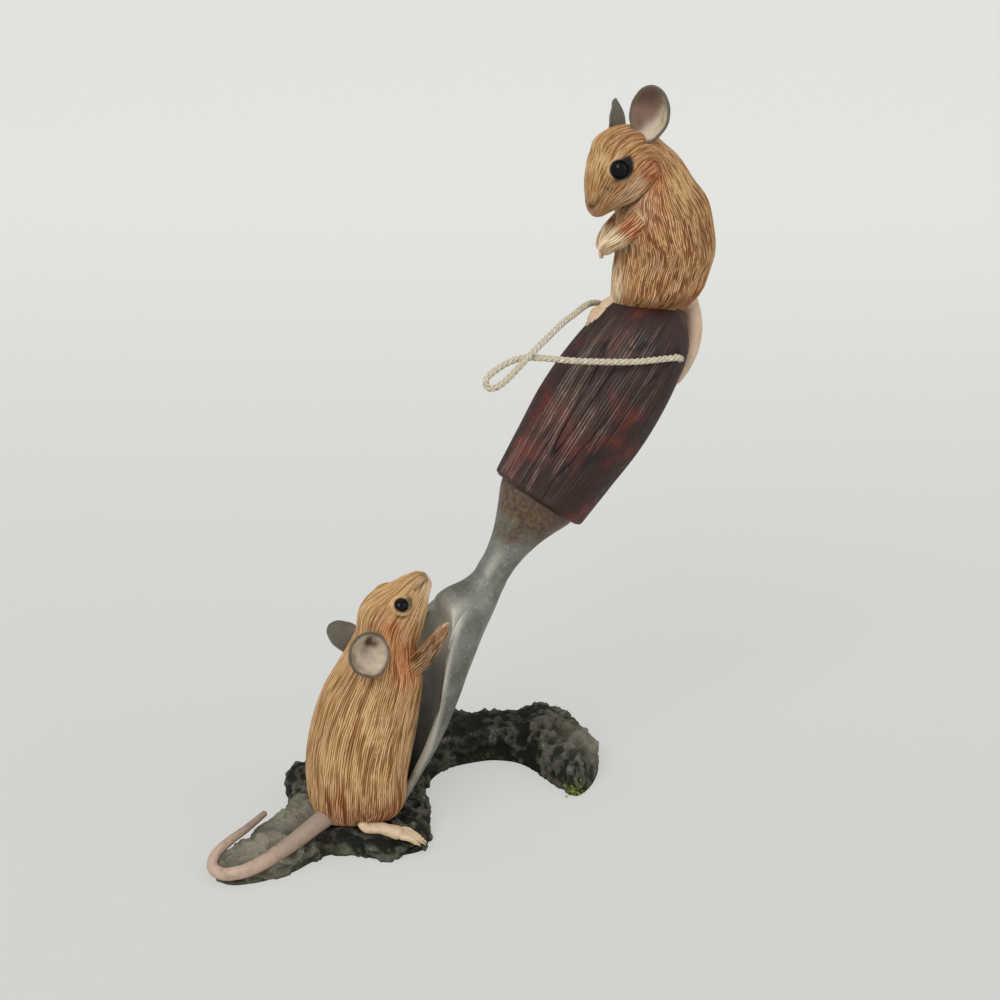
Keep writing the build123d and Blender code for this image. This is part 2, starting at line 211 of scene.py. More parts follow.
def ringed_body(table, seat, size, rows, columns, caps):
    """Ellipses round a leaning line: at each place along the table the centre, the lean, the half
    depth and the half width follow smooth curves, and the ends are rounded."""
    table = np.asarray(table, float)
    keys = lengths_along(table[:, :3] * size)
    along = end_rows(keys[-1], rows, *caps)
    values = smooth_curve(keys, table, along)
    factor = rounded_ends(along, *caps)[:, None, None]
    lean = np.radians(values[:, 3])
    across = np.stack([np.cos(lean), np.zeros(len(lean)), -np.sin(lean)], axis=1)
    rings = rings_of(values[:, 4:5] * size * across, values[:, 5:6] * size * SIDEWAYS, columns)
    return seat + values[:, None, :3] * size + factor * rings


def normals_of(points):
    """Outward unit normals of a closed grid, from the differences along its rows and columns."""
    along = np.gradient(points, axis=0)
    around = np.roll(points, -1, axis=1) - np.roll(points, 1, axis=1)
    normals = unit(np.cross(around, along))
    outward = points - points.mean(axis=1, keepdims=True)
    return normals if (normals * outward).sum() > 0 else -normals


def distance(points, place, stretch=(1, 1, 1)):
    """Distance of each point from a place, with each axis divided by its stretch."""
    return np.linalg.norm((points - np.asarray(place)) / np.asarray(stretch), axis=-1)


def patch(points, place, radius, stretch=(1, 1, 1)):
    """1 at a place, falling to 0 round it as a bell curve."""
    return np.exp(-(distance(points, place, stretch) / radius) ** 2)


def patches(points, places, radius):
    """Bell curves at several places, added up."""
    return sum(patch(points, place, radius) for place in places)


def both(x, y, z):
    """A place and its mirror image across the plane that the trowel leans in."""
    return np.array([x, -y, z]), np.array([x, y, z])


def paired(table):
    """Bumps given as place, radius and height, each with its mirror image."""
    return [(place, radius, rise) for centre, radius, rise in table for place in both(*centre)]


def swell(points, *bumps):
    """The surface pushed out along its normals by bell curves, each given by place, radius, height."""
    normals = normals_of(points)
    height = sum(rise * patch(points, place, radius) for place, radius, rise in bumps)
    return points + normals * height[..., None]


def strand_map(points):
    """Length round the widest ring and length along the surface at each row, in millimetres."""
    girth = np.linalg.norm(np.roll(points, -1, axis=1) - points, axis=-1).sum(axis=1).max()
    steps = np.linalg.norm(np.diff(points, axis=0), axis=-1).mean(axis=1)
    return girth, np.concatenate([[0], np.cumsum(steps)])


def strand_relief(points, seed, width, length):
    """Height from 0 to 1 of carved strands, and a tone from 0 to 1. A phase grows by one for each
    strand round the body, bent by slow noise. The height is an arch across the strand times a
    strength that fades in and out along it, and each strand has a tone of its own that drifts."""
    girth, along = strand_map(points)
    around = shares_round(points.shape[1])[None, :]
    cells = 24 * max(1, round(girth / width / 24))
    rows = (along / length)[:, None]
    bend = 1.6 * ring_noise(seed, cells // 12, around, rows * 0.45)
    wave = ring_noise(seed + 1, cells // 3, around, rows * 1.1)
    phase = around * cells + bend + wave
    strand = np.floor(phase)
    lots = np.random.default_rng(seed).random(cells)
    place = rows + 9 * lots[strand.astype(int) % cells]
    tone, strength = (lattice_noise(seed + k, strand, place * pace, repeats=(cells, NOISE_CELLS))
                      for k, pace in ((2, 0.8), (3, 1.3)))
    arch = np.sqrt(np.clip(4 * (phase - strand) * (1 - phase + strand), 0, 1))
    return arch * (0.62 + 0.38 * soft_step(0.1, 0.6, strength)), tone


def furred(points, seed, width, length, depth, quiet=1.0):
    """The surface with strands carved into it, their relief and their tones."""
    relief, tone = strand_relief(points, seed, width, length)
    return points + normals_of(points) * (depth * quiet * (relief - 0.8))[..., None], relief, tone


def split_rows(points, masks, row):
    """The grid cut at a row into two closed shells that meet there. Each keeps the row that is cut and
    ends a hair beyond it, so that the shading runs on over the cut."""
    beyond = points[row] + 0.05 * (points[row + 1] - points[row])
    before = points[row] - 0.05 * (points[row] - points[row - 1])
    low = {name: np.concatenate([mask[:row + 1], mask[row][None]]) for name, mask in masks.items()}
    high = {name: np.concatenate([mask[row][None], mask[row:]]) for name, mask in masks.items()}
    under = np.concatenate([points[:row + 1], beyond[None]])
    over = np.concatenate([before[None], points[row:]])
    return (under, low), (over, high)


class Shell:
    """Closed grids gathered into one mesh, with masks for the paint and a map along the strands."""

    def __init__(self):
        self.points, self.quads, self.caps, self.quad_map, self.cap_map = [], [], [], [], []
        self.masks = {}
        self.count = 0

    def add(self, points, **masks):
        rows, columns = points.shape[:2]
        index = self.count + np.arange(rows * columns).reshape(rows, columns)
        nextc = np.roll(index, -1, axis=1)
        quads = np.stack([index[:-1], nextc[:-1], nextc[1:], index[1:]], axis=-1).reshape(-1, 4)
        first, last = self.count + rows * columns, self.count + rows * columns + 1
        start = np.stack([np.full(columns, first), nextc[0], index[0]], axis=-1)
        end = np.stack([np.full(columns, last), index[-1], nextc[-1]], axis=-1)
        flat = np.concatenate([points.reshape(-1, 3), points[0].mean(0)[None], points[-1].mean(0)[None]])
        a, b, c, d = (flat[quads[:, k] - self.count] for k in range(4))
        inside_out = (a * (np.cross(b, c) + np.cross(c, d))).sum() < 0
        girth, along = strand_map(points)
        across = np.linspace(0, girth, columns + 1)
        grid = np.stack(np.meshgrid(across, along), axis=-1)
        corners = [grid[:-1, :-1], grid[:-1, 1:], grid[1:, 1:], grid[1:, :-1]]
        quad_map = np.stack(corners, axis=2).reshape(-1, 4, 2)
        start_map = np.stack([(grid[0, :-1] + grid[0, 1:]) / 2, grid[0, 1:], grid[0, :-1]], axis=1)
        end_map = np.stack([(grid[-1, :-1] + grid[-1, 1:]) / 2, grid[-1, :-1], grid[-1, 1:]], axis=1)
        caps, cap_map = np.concatenate([start, end]), np.concatenate([start_map, end_map])
        if inside_out:
            quads, quad_map, caps, cap_map = (part[:, ::-1] for part in (quads, quad_map, caps, cap_map))
        for store, part in ((self.points, flat), (self.quads, quads), (self.caps, caps),
                            (self.quad_map, quad_map), (self.cap_map, cap_map)):
            store.append(part)
        for name in set(masks) | set(self.masks):
            before = self.masks.setdefault(name, np.zeros(self.count))
            mask = np.broadcast_to(masks.get(name, 0.0), (rows, columns))
            values = np.concatenate([mask.reshape(-1), [mask[0].mean(), mask[-1].mean()]])
            self.masks[name] = np.concatenate([before, values])
        self.count += len(flat)
        return self

    def piece(self, name, material, nodes, slot):
        """The mesh as an object that rides on the part's body and stands for the solids named."""
        mesh = bpy.data.meshes.new(name)
        quads, caps = np.concatenate(self.quads), np.concatenate(self.caps)
        mesh.from_pydata((np.concatenate(self.points) * MM).tolist(), [], quads.tolist() + caps.tolist())
        mapped = np.concatenate([part.reshape(-1, 2) for part in (*self.quad_map, *self.cap_map)])
        mesh.uv_layers.new(name="strands").data.foreach_set("uv", (mapped * MM).astype(np.float32).ravel())
        for mask, values in self.masks.items():
            mesh.attributes.new(mask, "FLOAT", "POINT").data.foreach_set("value", values.astype(np.float32))
        mesh.shade_smooth()
        mesh.materials.append(material)
        piece = bpy.data.objects.new(name, mesh)
        bpy.context.scene.collection.objects.link(piece)
        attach(piece, "root")
        if nodes:
            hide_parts(*nodes)
        return piece


# Sizes of the part and places along the trowel, as in the frame; leans are in degrees

blade_length, blade_width, blade_wall, blade_lean = 81.0, 34.0, 2.2, 23.8
neck_length, neck_lean, waist_diameter, socket_diameter = 27.4, 34.4, 10.4, 25.0
handle_lean, handle_length, handle_end_diameter, handle_belly_diameter = 36.5, 71.0, 30.4, 35.8
upper_height, lower_height, earth_length = 56.0, 78.0, 134.0
blade_tip = np.array([0, 0, 6.5])
waist = blade_tip + lean_direction(blade_lean) * blade_length
socket_mouth = waist + lean_direction(neck_lean) * neck_length
handle_axis = lean_direction(handle_lean)
upper_seat = socket_mouth + handle_axis * handle_length
lower_seat = np.array([-12.0, 0, 6.5])


# Paint

def screen(red, green, blue):
    """Linear colour of a paint given in 8-bit screen values."""
    return tuple(((value / 255 + 0.055) / 1.055) ** 2.4 for value in (red, green, blue)) + (1.0,)


PAINTS = {name: screen(*values) for name, values in {
    "tan": (160, 114, 66), "sand": (178, 134, 82), "pale_fur": (204, 168, 114), "ginger": (176, 98, 42),
    "cream": (226, 208, 176), "dusk": (112, 76, 48), "skin": (214, 172, 150), "ink": (10, 10, 12),
    "lock_shade": (222, 206, 188), "groove_shade": (146, 112, 80), "crest_light": (248, 226, 184),
    "ear_back": (92, 86, 72), "ear_inside": (128, 102, 84), "ear_spot_and_shade": (62, 42, 32),
    "foot": (204, 180, 148), "foot_spot": (146, 116, 88), "pale_and_lit_skin": (196, 182, 158),
    "upper_tail": (204, 178, 152), "upper_tail_spot": (140, 118, 98),
    "lower_tail": (148, 128, 112), "lower_tail_light": (184, 158, 140), "lower_tail_spot": (104, 86, 74),
    "wood": (54, 32, 26), "red_wood": (106, 42, 28), "wood_groove": (22, 15, 14), "wood_highlight": (150, 126, 110),
    "steel": (114, 114, 105), "dark_steel": (92, 91, 82), "lit_inner_steel": (132, 126, 108),
    "scuff_and_highlight": (180, 178, 164), "rust": (104, 84, 62), "dark_rust": (72, 56, 42), "grime_and_shadow": (56, 50, 42),
    "earth": (84, 83, 72), "brown_earth": (66, 62, 50), "deep_earth": (30, 30, 26),
    "dry_earth": (142, 138, 122), "pale_earth": (142, 137, 120), "moss": (86, 96, 48),
    "leaf": (150, 168, 56), "cord": (216, 206, 186), "cord_shade": (158, 146, 122),
    # Glow of the floor and backdrop for the camera: painted light, brighter towards the back and up.
    "front_glow": (206, 207, 203), "back_glow": (240, 240, 237), "high_glow": (241, 241, 237),
}.items()}
GROUPS = {}
MATERIALS = {}


def put(tree, kind, inputs=None, **settings):
    """A node with its settings, and with its inputs linked or set."""
    node = tree.nodes.new("ShaderNode" + kind)
    for name, value in settings.items():
        setattr(node, name, value)
    for name, value in (inputs or {}).items():
        if isinstance(value, bpy.types.NodeSocket):
            tree.links.new(value, node.inputs[name])
        else:
            node.inputs[name].default_value = value
    return node


def blend_paint(tree, mask, under, over, kind="MIX"):
    """Colour that goes from under to over as the mask goes from 0 to 1."""
    return put(tree, "Mix", {0: mask, 6: under, 7: over}, data_type="RGBA", blend_type=kind).outputs[2]


def arithmetic(tree, operation, first, second):
    """One sum of two numbers, each a socket or a plain value."""
    return put(tree, "Math", {0: first, 1: second}, operation=operation).outputs[0]


def times(tree, first, second):
    """Product of two masks, or a mask made weaker."""
    return arithmetic(tree, "MULTIPLY", first, second)


def ranged(tree, value, low, high, start=0.0, end=1.0):
    """Smooth step from start to end as the value goes from low to high."""
    limits = {"Value": value, "From Min": low, "From Max": high, "To Min": start, "To Max": end}
    return put(tree, "MapRange", limits, interpolation_type="SMOOTHSTEP").outputs["Result"]


def grain(tree, scale, detail):
    """Fine even noise in object space."""
    place = put(tree, "TexCoord").outputs["Object"]
    return put(tree, "TexNoise", {"Vector": place, "Scale": scale, "Detail": detail}).outputs["Fac"]


def new_group(name, inputs, outputs):
    """Empty node group with numbers as its named sockets."""
    group = bpy.data.node_groups.new(name, "ShaderNodeTree")
    for way, sockets in (("INPUT", inputs), ("OUTPUT", outputs)):
        for socket in sockets:
            group.interface.new_socket(socket, in_out=way, socket_type="NodeSocketFloat")
    return group, group.nodes.new("NodeGroupInput").outputs, group.nodes.new("NodeGroupOutput").inputs


def make_mottle_group():
    """Soft blotches in object space: noise stepped between two limits."""
    group, given, out = new_group("mottle", ("Scale", "Low", "High"), ("Mask",))
    place = put(group, "TexCoord").outputs["Object"]
    broad = put(group, "TexNoise", {"Vector": place, "Scale": given["Scale"], "Detail": 4.0,
                                    "Roughness": 0.6})
    group.links.new(ranged(group, broad.outputs["Fac"], given["Low"], given["High"]), out["Mask"])
    return group


def make_strand_group():
    """Fine strands along the piece's own map: noise drawn out along its second direction."""
    group, given, out = new_group("fine_strands", ("Fineness", "Stretch"), ("Strand", "Height"))
    parts = put(group, "SeparateXYZ", {0: put(group, "UVMap", uv_map="strands").outputs["UV"]}).outputs
    across = times(group, parts["X"], given["Fineness"])
    along = times(group, parts["Y"], arithmetic(group, "DIVIDE", given["Fineness"], given["Stretch"]))
    drawn = put(group, "CombineXYZ", {"X": across, "Y": along}).outputs[0]
    noise = put(group, "TexNoise", {"Vector": drawn, "Scale": 1.0, "Detail": 2.0, "Roughness": 0.6,
                                    "Distortion": 0.4}).outputs["Fac"]
    group.links.new(ranged(group, noise, 0.36, 0.62), out["Strand"])
    group.links.new(noise, out["Height"])
    return group


def grouped(tree, name, **inputs):
    """Outputs of a node group with its numbers set."""
    node = tree.nodes.new("ShaderNodeGroup")
    node.node_tree = GROUPS[name]
    for socket, value in inputs.items():
        node.inputs[socket].default_value = value
    return node.outputs


def mottled(tree, scale, low, high):
    return grouped(tree, "mottle", Scale=scale, Low=low, High=high)["Mask"]


def mask_of(tree, name):
    """Mask that the mesh carries."""
    return put(tree, "Attribute", attribute_name=name).outputs["Fac"]


def layered(tree, colour, **layers):
    """Colour with paints laid over it in turn, each where the mask of its name is."""
    for mask, paint in layers.items():
        colour = blend_paint(tree, mask_of(tree, mask), colour, PAINTS[paint])
    return colour


def new_material(name):
    """Material without nodes, and its tree."""
    material = bpy.data.materials.new(name)
    material.use_nodes = True
    tree = material.node_tree
    tree.nodes.clear()
    return material, tree


def finish_material(tree, colour, roughness, bump=None, metallic=0.0, specular=0.4):
    """Principled surface from a colour and a roughness, each a socket or a plain value. The bump is
    its height, strength and depth in metres."""
    inputs = {"Base Color": colour, "Roughness": roughness, "Metallic": metallic,
              "Specular IOR Level": specular}
    if bump:
        height, strength, depth = bump
        bumped = put(tree, "Bump", {"Height": height, "Strength": strength, "Distance": depth})
        inputs["Normal"] = bumped.outputs[0]
    put(tree, "OutputMaterial", {"Surface": put(tree, "BsdfPrincipled", inputs).outputs[0]})


def fur_material():
    """Carved and painted fur: tan, lighter or darker from lock to lock, with ginger, cream, dusky,
    pale and bare places, painted shade between the strands and a painted highlight on their crests."""
    material, tree = new_material("painted_fur")
    strands = grouped(tree, "fine_strands", Fineness=2600.0, Stretch=9.0)
    relief = mask_of(tree, "relief")
    colour = blend_paint(tree, mottled(tree, 130.0, 0.38, 0.64), PAINTS["tan"], PAINTS["sand"])
    colour = layered(tree, colour, pale="pale_fur", ginger="ginger", dusk="dusk", cream="cream")
    darker = blend_paint(tree, 1.0, colour, PAINTS["lock_shade"], "MULTIPLY")
    colour = blend_paint(tree, ranged(tree, mask_of(tree, "tone"), 0.2, 0.8), darker, colour)
    # Painted shade in the grooves between the strands, and a painted highlight on their crests.
    groove = blend_paint(tree, 1.0, colour, PAINTS["groove_shade"], "MULTIPLY")
    crest = blend_paint(tree, 0.34, colour, PAINTS["crest_light"])
    colour = blend_paint(tree, ranged(tree, relief, 0.30, 0.80), groove, colour)
    shine = times(tree, ranged(tree, relief, 0.60, 0.95), ranged(tree, strands["Strand"], 0.0, 1.0, 0.1, 1.0))
    colour = blend_paint(tree, shine, colour, crest)
    colour = layered(tree, colour, bare="skin", inky="ink")
    finish_material(tree, colour, 0.62, (strands["Height"], 0.4, 0.0004), specular=0.25)
    return material


def skin_material(name, outer, inner, spot, scale):
    """Painted skin: outer colour, inner colour where its mask is, pale paint where its mask is, as
    colour and as painted light, and a third colour both as painted shade and in blotches.
    """
    material, tree = new_material(name)
    colour = layered(tree, PAINTS[outer], inner=inner, pale="pale_and_lit_skin", shade=spot)
    colour = blend_paint(tree, times(tree, mottled(tree, scale, 0.48, 0.72), 0.4), colour, PAINTS[spot])
    finish_material(tree, colour, 0.5, (grain(tree, 2400.0, 3.0), 0.25, 0.0003), specular=0.35)
    return material


def eye_material():
    """Glossy black bead."""
    material, tree = new_material("eye_bead")
    finish_material(tree, PAINTS["ink"], 0.05, specular=0.14)
    return material


def wood_material():
    """Dark wood over carved grain: painted shade in the grooves and cord holes, red in soft patches,
    and a pale painted highlight on the crests that face the main lamp.
    """
    material, tree = new_material("painted_wood")
    strands = grouped(tree, "fine_strands", Fineness=1500.0, Stretch=26.0)
    # Patches of wear: rougher, and with a stronger painted highlight on the crests.
    wear_and_sheen = mottled(tree, 300.0, 0.40, 0.66)
    colour = blend_paint(tree, mottled(tree, 55.0, 0.49, 0.68), PAINTS["wood"], PAINTS["red_wood"])
    colour = blend_paint(tree, times(tree, strands["Strand"], 0.45), colour, PAINTS["wood_groove"])
    # Painted shade in the carved grooves.
    ridge = ranged(tree, mask_of(tree, "relief"), 0.15, 0.8)
    colour = blend_paint(tree, ridge, PAINTS["wood_groove"], colour)
    # Pale painted highlight on the crests that face the main lamp.
    highlit = times(tree, mask_of(tree, "dust"), ranged(tree, wear_and_sheen, 0.0, 1.0, 0.45, 1.0))
    colour = blend_paint(tree, times(tree, highlit, 0.8), colour, PAINTS["wood_highlight"])
    # Painted shade in the cord holes.
    colour = layered(tree, colour, shade="wood_groove")
    rough = ranged(tree, wear_and_sheen, 0.0, 1.0, 0.40, 0.55)
    finish_material(tree, colour, rough, (strands["Height"], 0.5, 0.0006), specular=0.3)
    return material


def steel_material():
    """Painted old steel: grey, darker in blotches, pale scuffs, rust where its mask is. The inside
    is painted lighter as painted light; pale paint marks wear and painted highlights, and dark
    paint marks grime and painted shadow.
    """
    material, tree = new_material("painted_steel")
    blotch = mottled(tree, 110.0, 0.40, 0.66)
    colour = blend_paint(tree, blotch, PAINTS["steel"], PAINTS["dark_steel"])
    # Painted light: the inside of the blade is painted lighter.
    colour = layered(tree, colour, inner="lit_inner_steel")
    colour = blend_paint(tree, times(tree, mottled(tree, 900.0, 0.52, 0.74), 0.35), colour, PAINTS["scuff_and_highlight"])
    rust = blend_paint(tree, mottled(tree, 700.0, 0.35, 0.65), PAINTS["rust"], PAINTS["dark_rust"])
    colour = blend_paint(tree, mask_of(tree, "rusty"), colour, rust)
    # Pale paint on the rim mask as wear and painted highlight; dark paint on the shade mask as grime and
    # painted shadow.
    colour = layered(tree, colour, rim="scuff_and_highlight", shade="grime_and_shadow")
    rough = ranged(tree, blotch, 0.0, 1.0, 0.38, 0.55)
    finish_material(tree, colour, rough, (grain(tree, 1600.0, 5.0), 0.35, 0.0004), metallic=0.25,
                    specular=0.5)
    return material


def earth_material():
    """Dry earth: dark grey-brown, pale on the crumbs, painted shade in the pits, with moss by its mask."""
    material, tree = new_material("painted_earth")
    relief = mask_of(tree, "relief")
    grit = mottled(tree, 1100.0, 0.42, 0.66)
    colour = blend_paint(tree, mottled(tree, 90.0, 0.40, 0.64), PAINTS["earth"], PAINTS["brown_earth"])
    # Painted shade in the pits, where the relief is low.
    colour = blend_paint(tree, ranged(tree, relief, 0.30, 0.62), PAINTS["deep_earth"], colour)
    crumb = times(tree, ranged(tree, relief, 0.60, 0.9), grit)
    for mask, share, paint in ((mask_of(tree, "pale"), 0.8, "pale_earth"),
                               (mask_of(tree, "damp"), 0.65, "deep_earth"),
                               (crumb, 0.7, "dry_earth"), (mask_of(tree, "moss"), grit, "moss")):
        colour = blend_paint(tree, times(tree, mask, share), colour, PAINTS[paint])
    finish_material(tree, colour, 0.85, (grain(tree, 900.0, 6.0), 0.8, 0.0008), specular=0.2)
    return material


def cord_material():
    """Undyed cotton with fine fibres."""
    material, tree = new_material("twisted_cotton")
    strands = grouped(tree, "fine_strands", Fineness=7000.0, Stretch=8.0)
    colour = blend_paint(tree, strands["Strand"], PAINTS["cord_shade"], PAINTS["cord"])
    finish_material(tree, colour, 0.8, (strands["Height"], 0.5, 0.0002), specular=0.2)
    return material


def leaf_material():
    """Leaves of moss, from dull to bright green."""
    material, tree = new_material("moss_leaf")
    colour = blend_paint(tree, grain(tree, 3000.0, 2.0), PAINTS["moss"], PAINTS["leaf"])
    finish_material(tree, colour, 0.6, specular=0.3)
    return material


def prepare_materials():
    """Makes the node groups and every material once."""
    GROUPS.update(mottle=make_mottle_group(), fine_strands=make_strand_group())
    MATERIALS.update(
        fur=fur_material(), eye=eye_material(), wood=wood_material(), steel=steel_material(),
        earth=earth_material(), cord=cord_material(), leaf=leaf_material(),
        ear=skin_material("ear_skin", "ear_back", "ear_inside", "ear_spot_and_shade", 260.0),
        foot=skin_material("foot_skin", "foot", "foot", "foot_spot", 500.0),
        upper_tail=skin_material("upper_tail_skin", "upper_tail", "upper_tail", "upper_tail_spot", 300.0),
        lower_tail=skin_material("lower_tail_skin", "lower_tail", "lower_tail_light", "lower_tail_spot", 300.0),
    )


# The hanging cord: the points of the frame's route, in metres

CORD_POINTS = [
    (0.08606, -0.01234, 0.14717), (0.08711, -0.01607, 0.14639),
    (0.0856, -0.0184, 0.1479), (0.0822, -0.0190, 0.1483),
    (0.0771, -0.0183, 0.1481), (0.0704, -0.0178, 0.1481), (0.0627, -0.0158, 0.1485),
    (0.0536, -0.0132, 0.1491), (0.0452, -0.0108, 0.1503), (0.0387, -0.0090, 0.1509),
    (0.0341, -0.0082, 0.1494), (0.0305, -0.0079, 0.1474), (0.0275, -0.0082, 0.1455),
    (0.0278, -0.0089, 0.1426), (0.0306, -0.0096, 0.1428), (0.0337, -0.0104, 0.1453),
    (0.0371, -0.0112, 0.1490), (0.0413, -0.0110, 0.1526), (0.0477, -0.0075, 0.1555),
    (0.0546, -0.0025, 0.1578), (0.0624, 0.0035, 0.1590), (0.0690, 0.0100, 0.1594),
    (0.0746, 0.0149, 0.1584),
    (0.0786, 0.0179, 0.1568), (0.07806, 0.01607, 0.15308), (0.07911, 0.01234, 0.15231),
]
CORD_EXIT = (0.08662, -0.01435, 0.14675)
CORD_FAR_EXIT = (0.07855, 0.01435, 0.15272)
CORD_DIAMETER = 0.002
CORD_STEP = 0.3
STRAND_SHARE = 0.268


def cord_centreline():
    """Points read from the NURBS curve whose control points are the cord's route, in metres."""
    curve = bpy.data.curves.new("cord_route", "CURVE")
    curve.dimensions = "3D"
    curve.resolution_u = 24
    spline = curve.splines.new("NURBS")
    spline.points.add(len(CORD_POINTS) - 1)
    for point, place in zip(spline.points, CORD_POINTS):
        point.co = (*place, 1.0)
    spline.order_u = 3
    spline.use_endpoint_u = True
    holder = bpy.data.objects.new("cord_route", curve)
    mesh = bpy.data.meshes.new_from_object(holder)
    points = np.array([vertex.co for vertex in mesh.vertices])
    bpy.data.meshes.remove(mesh)
    bpy.data.objects.remove(holder)
    bpy.data.curves.remove(curve)
    return points


def twisted_strands(path, diameter, pitch, columns):
    """Three round strands laid round a path as equal helices. path and sizes in millimetres."""
    length = lengths_along(path)
    even = np.linspace(0, length[-1], int(length[-1] / CORD_STEP))
    centre = read_along(length, path, even)
    tangents, sides, lifts = carried_frames(centre)
    strand = diameter * STRAND_SHARE
    offset = diameter / 2 - strand
    rings = strand * rounded_ends(even, strand, strand)[:, None, None] * rings_of(sides, lifts, columns)
    grids = []
    for k in range(3):
        turn = (tau * (even / pitch + k / 3))[:, None]
        grids.append((centre + offset * (np.cos(turn) * sides + np.sin(turn) * lifts))[:, None] + rings)
    return grids


# The clod of earth

# Near edge and far edge as x, y, and the height of the clod, from the tail's loop to the far lobe,
# and the same of the short lump behind the lower mouse
CLOD = [
    (-58.6, -6.5, -58.6, -3.0, 3.4), (-56.0, -9.0, -57.0, 0.0, 4.6), (-50.0, -11.2, -52.5, 3.8, 6.2),
    (-43.0, -11.6, -45.5, 8.4, 7.8), (-36.0, -10.6, -39.0, 12.6, 9.2), (-29.0, -7.6, -33.0, 15.0, 9.8),
    (-22.0, -6.5, -28.5, 19.5, 10.2), (-15.5, -10.4, -26.5, 27.0, 10.2), (-9.7, -15.6, -21.0, 31.5, 9.8),
    (-3.0, -16.2, -9.0, 32.0, 9.4), (4.5, -15.2, 0.0, 32.0, 9.0), (9.8, -7.0, 5.0, 33.5, 9.4),
    (13.3, 7.0, 8.0, 37.0, 10.4), (19.0, 20.0, 12.0, 43.5, 11.8), (28.0, 28.0, 21.0, 51.0, 12.8),
    (38.0, 29.0, 36.0, 54.0, 12.8), (47.5, 27.0, 50.0, 48.0, 12.2), (53.0, 22.0, 59.0, 44.0, 12.8),
    (56.0, 13.0, 70.0, 45.0, 14.0), (57.8, 4.0, 76.5, 36.0, 13.6), (59.5, -2.0, 77.0, 20.0, 13.0),
    (61.0, -5.0, 77.0, 11.0, 12.0), (63.5, -5.6, 76.5, 8.0, 10.0),
]
STUB = [
    (-24.0, 20.0, -7.0, 26.0, 9.6), (-25.0, 29.0, -8.0, 33.0, 10.4),
    (-25.0, 36.0, -11.0, 39.0, 10.2), (-22.5, 41.0, -14.0, 42.0, 9.0),
]
CLOD_TOP_SHARE = 0.8
CLOD_END = 2.5


def clod_surface(table, rows, columns, seed):
    """Clod: over the line from its near to its far edge stands an arch, a superellipse of the clod's
    height, closed by the flat base. Cloud noise and its absolute value push the arch in and out."""
    table = np.array(table)
    keys = lengths_along((table[:, :2] + table[:, 2:4]) / 2)
    along = end_rows(keys[-1], rows, CLOD_END, CLOD_END)
    values = smooth_curve(keys, table, along)
    share = shares_round(columns) / CLOD_TOP_SHARE
    top = share < 1
    turn = np.cos(pi * share)
    base = 2 * (share * CLOD_TOP_SHARE - CLOD_TOP_SHARE) / (1 - CLOD_TOP_SHARE) - 1
    across = np.where(top, np.sign(turn) * np.abs(turn) ** 0.72, base)
    rise = np.where(top, np.abs(np.sin(pi * share)) ** 0.62, 0)
    factor = rounded_ends(along, CLOD_END, CLOD_END)[:, None]
    middle = (values[:, 0:2] + values[:, 2:4]) / 2
    half = (values[:, 0:2] - values[:, 2:4]) / 2
    plan = middle[:, None] + (across * factor)[..., None] * half[:, None]
    points = np.concatenate([plan, (rise * values[:, 4][:, None] * np.sqrt(factor))[..., None]], axis=-1)
    broad = cloud_noise(seed, points, 9.0, 2)
    lumps = np.abs(cloud_noise(seed + 5, points, 5.0, 2))
    crumbs = cloud_noise(seed + 10, points, 2.4, 4)
    push = 1.0 * broad + 1.7 * (0.35 - lumps) + 0.8 * crumbs - 0.5
    moved = points + normals_of(points) * (push * np.where(top, 1, 0) * soft_step(0, 0.3, factor))[..., None]
    moved[..., 2] = np.where(top, np.maximum(moved[..., 2], 0), 0)
    return moved, np.clip(0.62 + 0.40 * crumbs - 0.5 * lumps + 0.15 * broad, 0, 1)


# The trowel

# Blade, in shares: station from the waist to the tip, outer radius, half angle of the arc in
# degrees, and how far the back lies behind the axis
TROUGH = [
    (-0.07, 0.132, 150, 0.132), (-0.03, 0.145, 148, 0.145), (0.0, 0.153, 144, 0.153),
    (0.045, 0.175, 128, 0.140), (0.10, 0.235, 111, 0.128), (0.16, 0.310, 103, 0.112),
    (0.24, 0.380, 96, 0.100), (0.35, 0.455, 82, 0.090),
    (0.50, 0.550, 65, 0.090), (0.64, 0.540, 57, 0.078), (0.77, 0.430, 52, 0.050),
    (0.89, 0.290, 47, 0.026), (1.00, 0.165, 42, 0.010), (1.06, 0.165, 42, 0.010),
]
# Neck, in shares: place from the waist to the socket, and how much of the flare is reached there
FLARE = [(0.0, 0.0), (0.2, 0.01), (0.35, 0.10), (0.5, 0.25), (0.75, 0.60), (0.97, 0.97), (1.0, 1.0)]
NECK_START = -0.16
TROUGH_FILL = 9.0


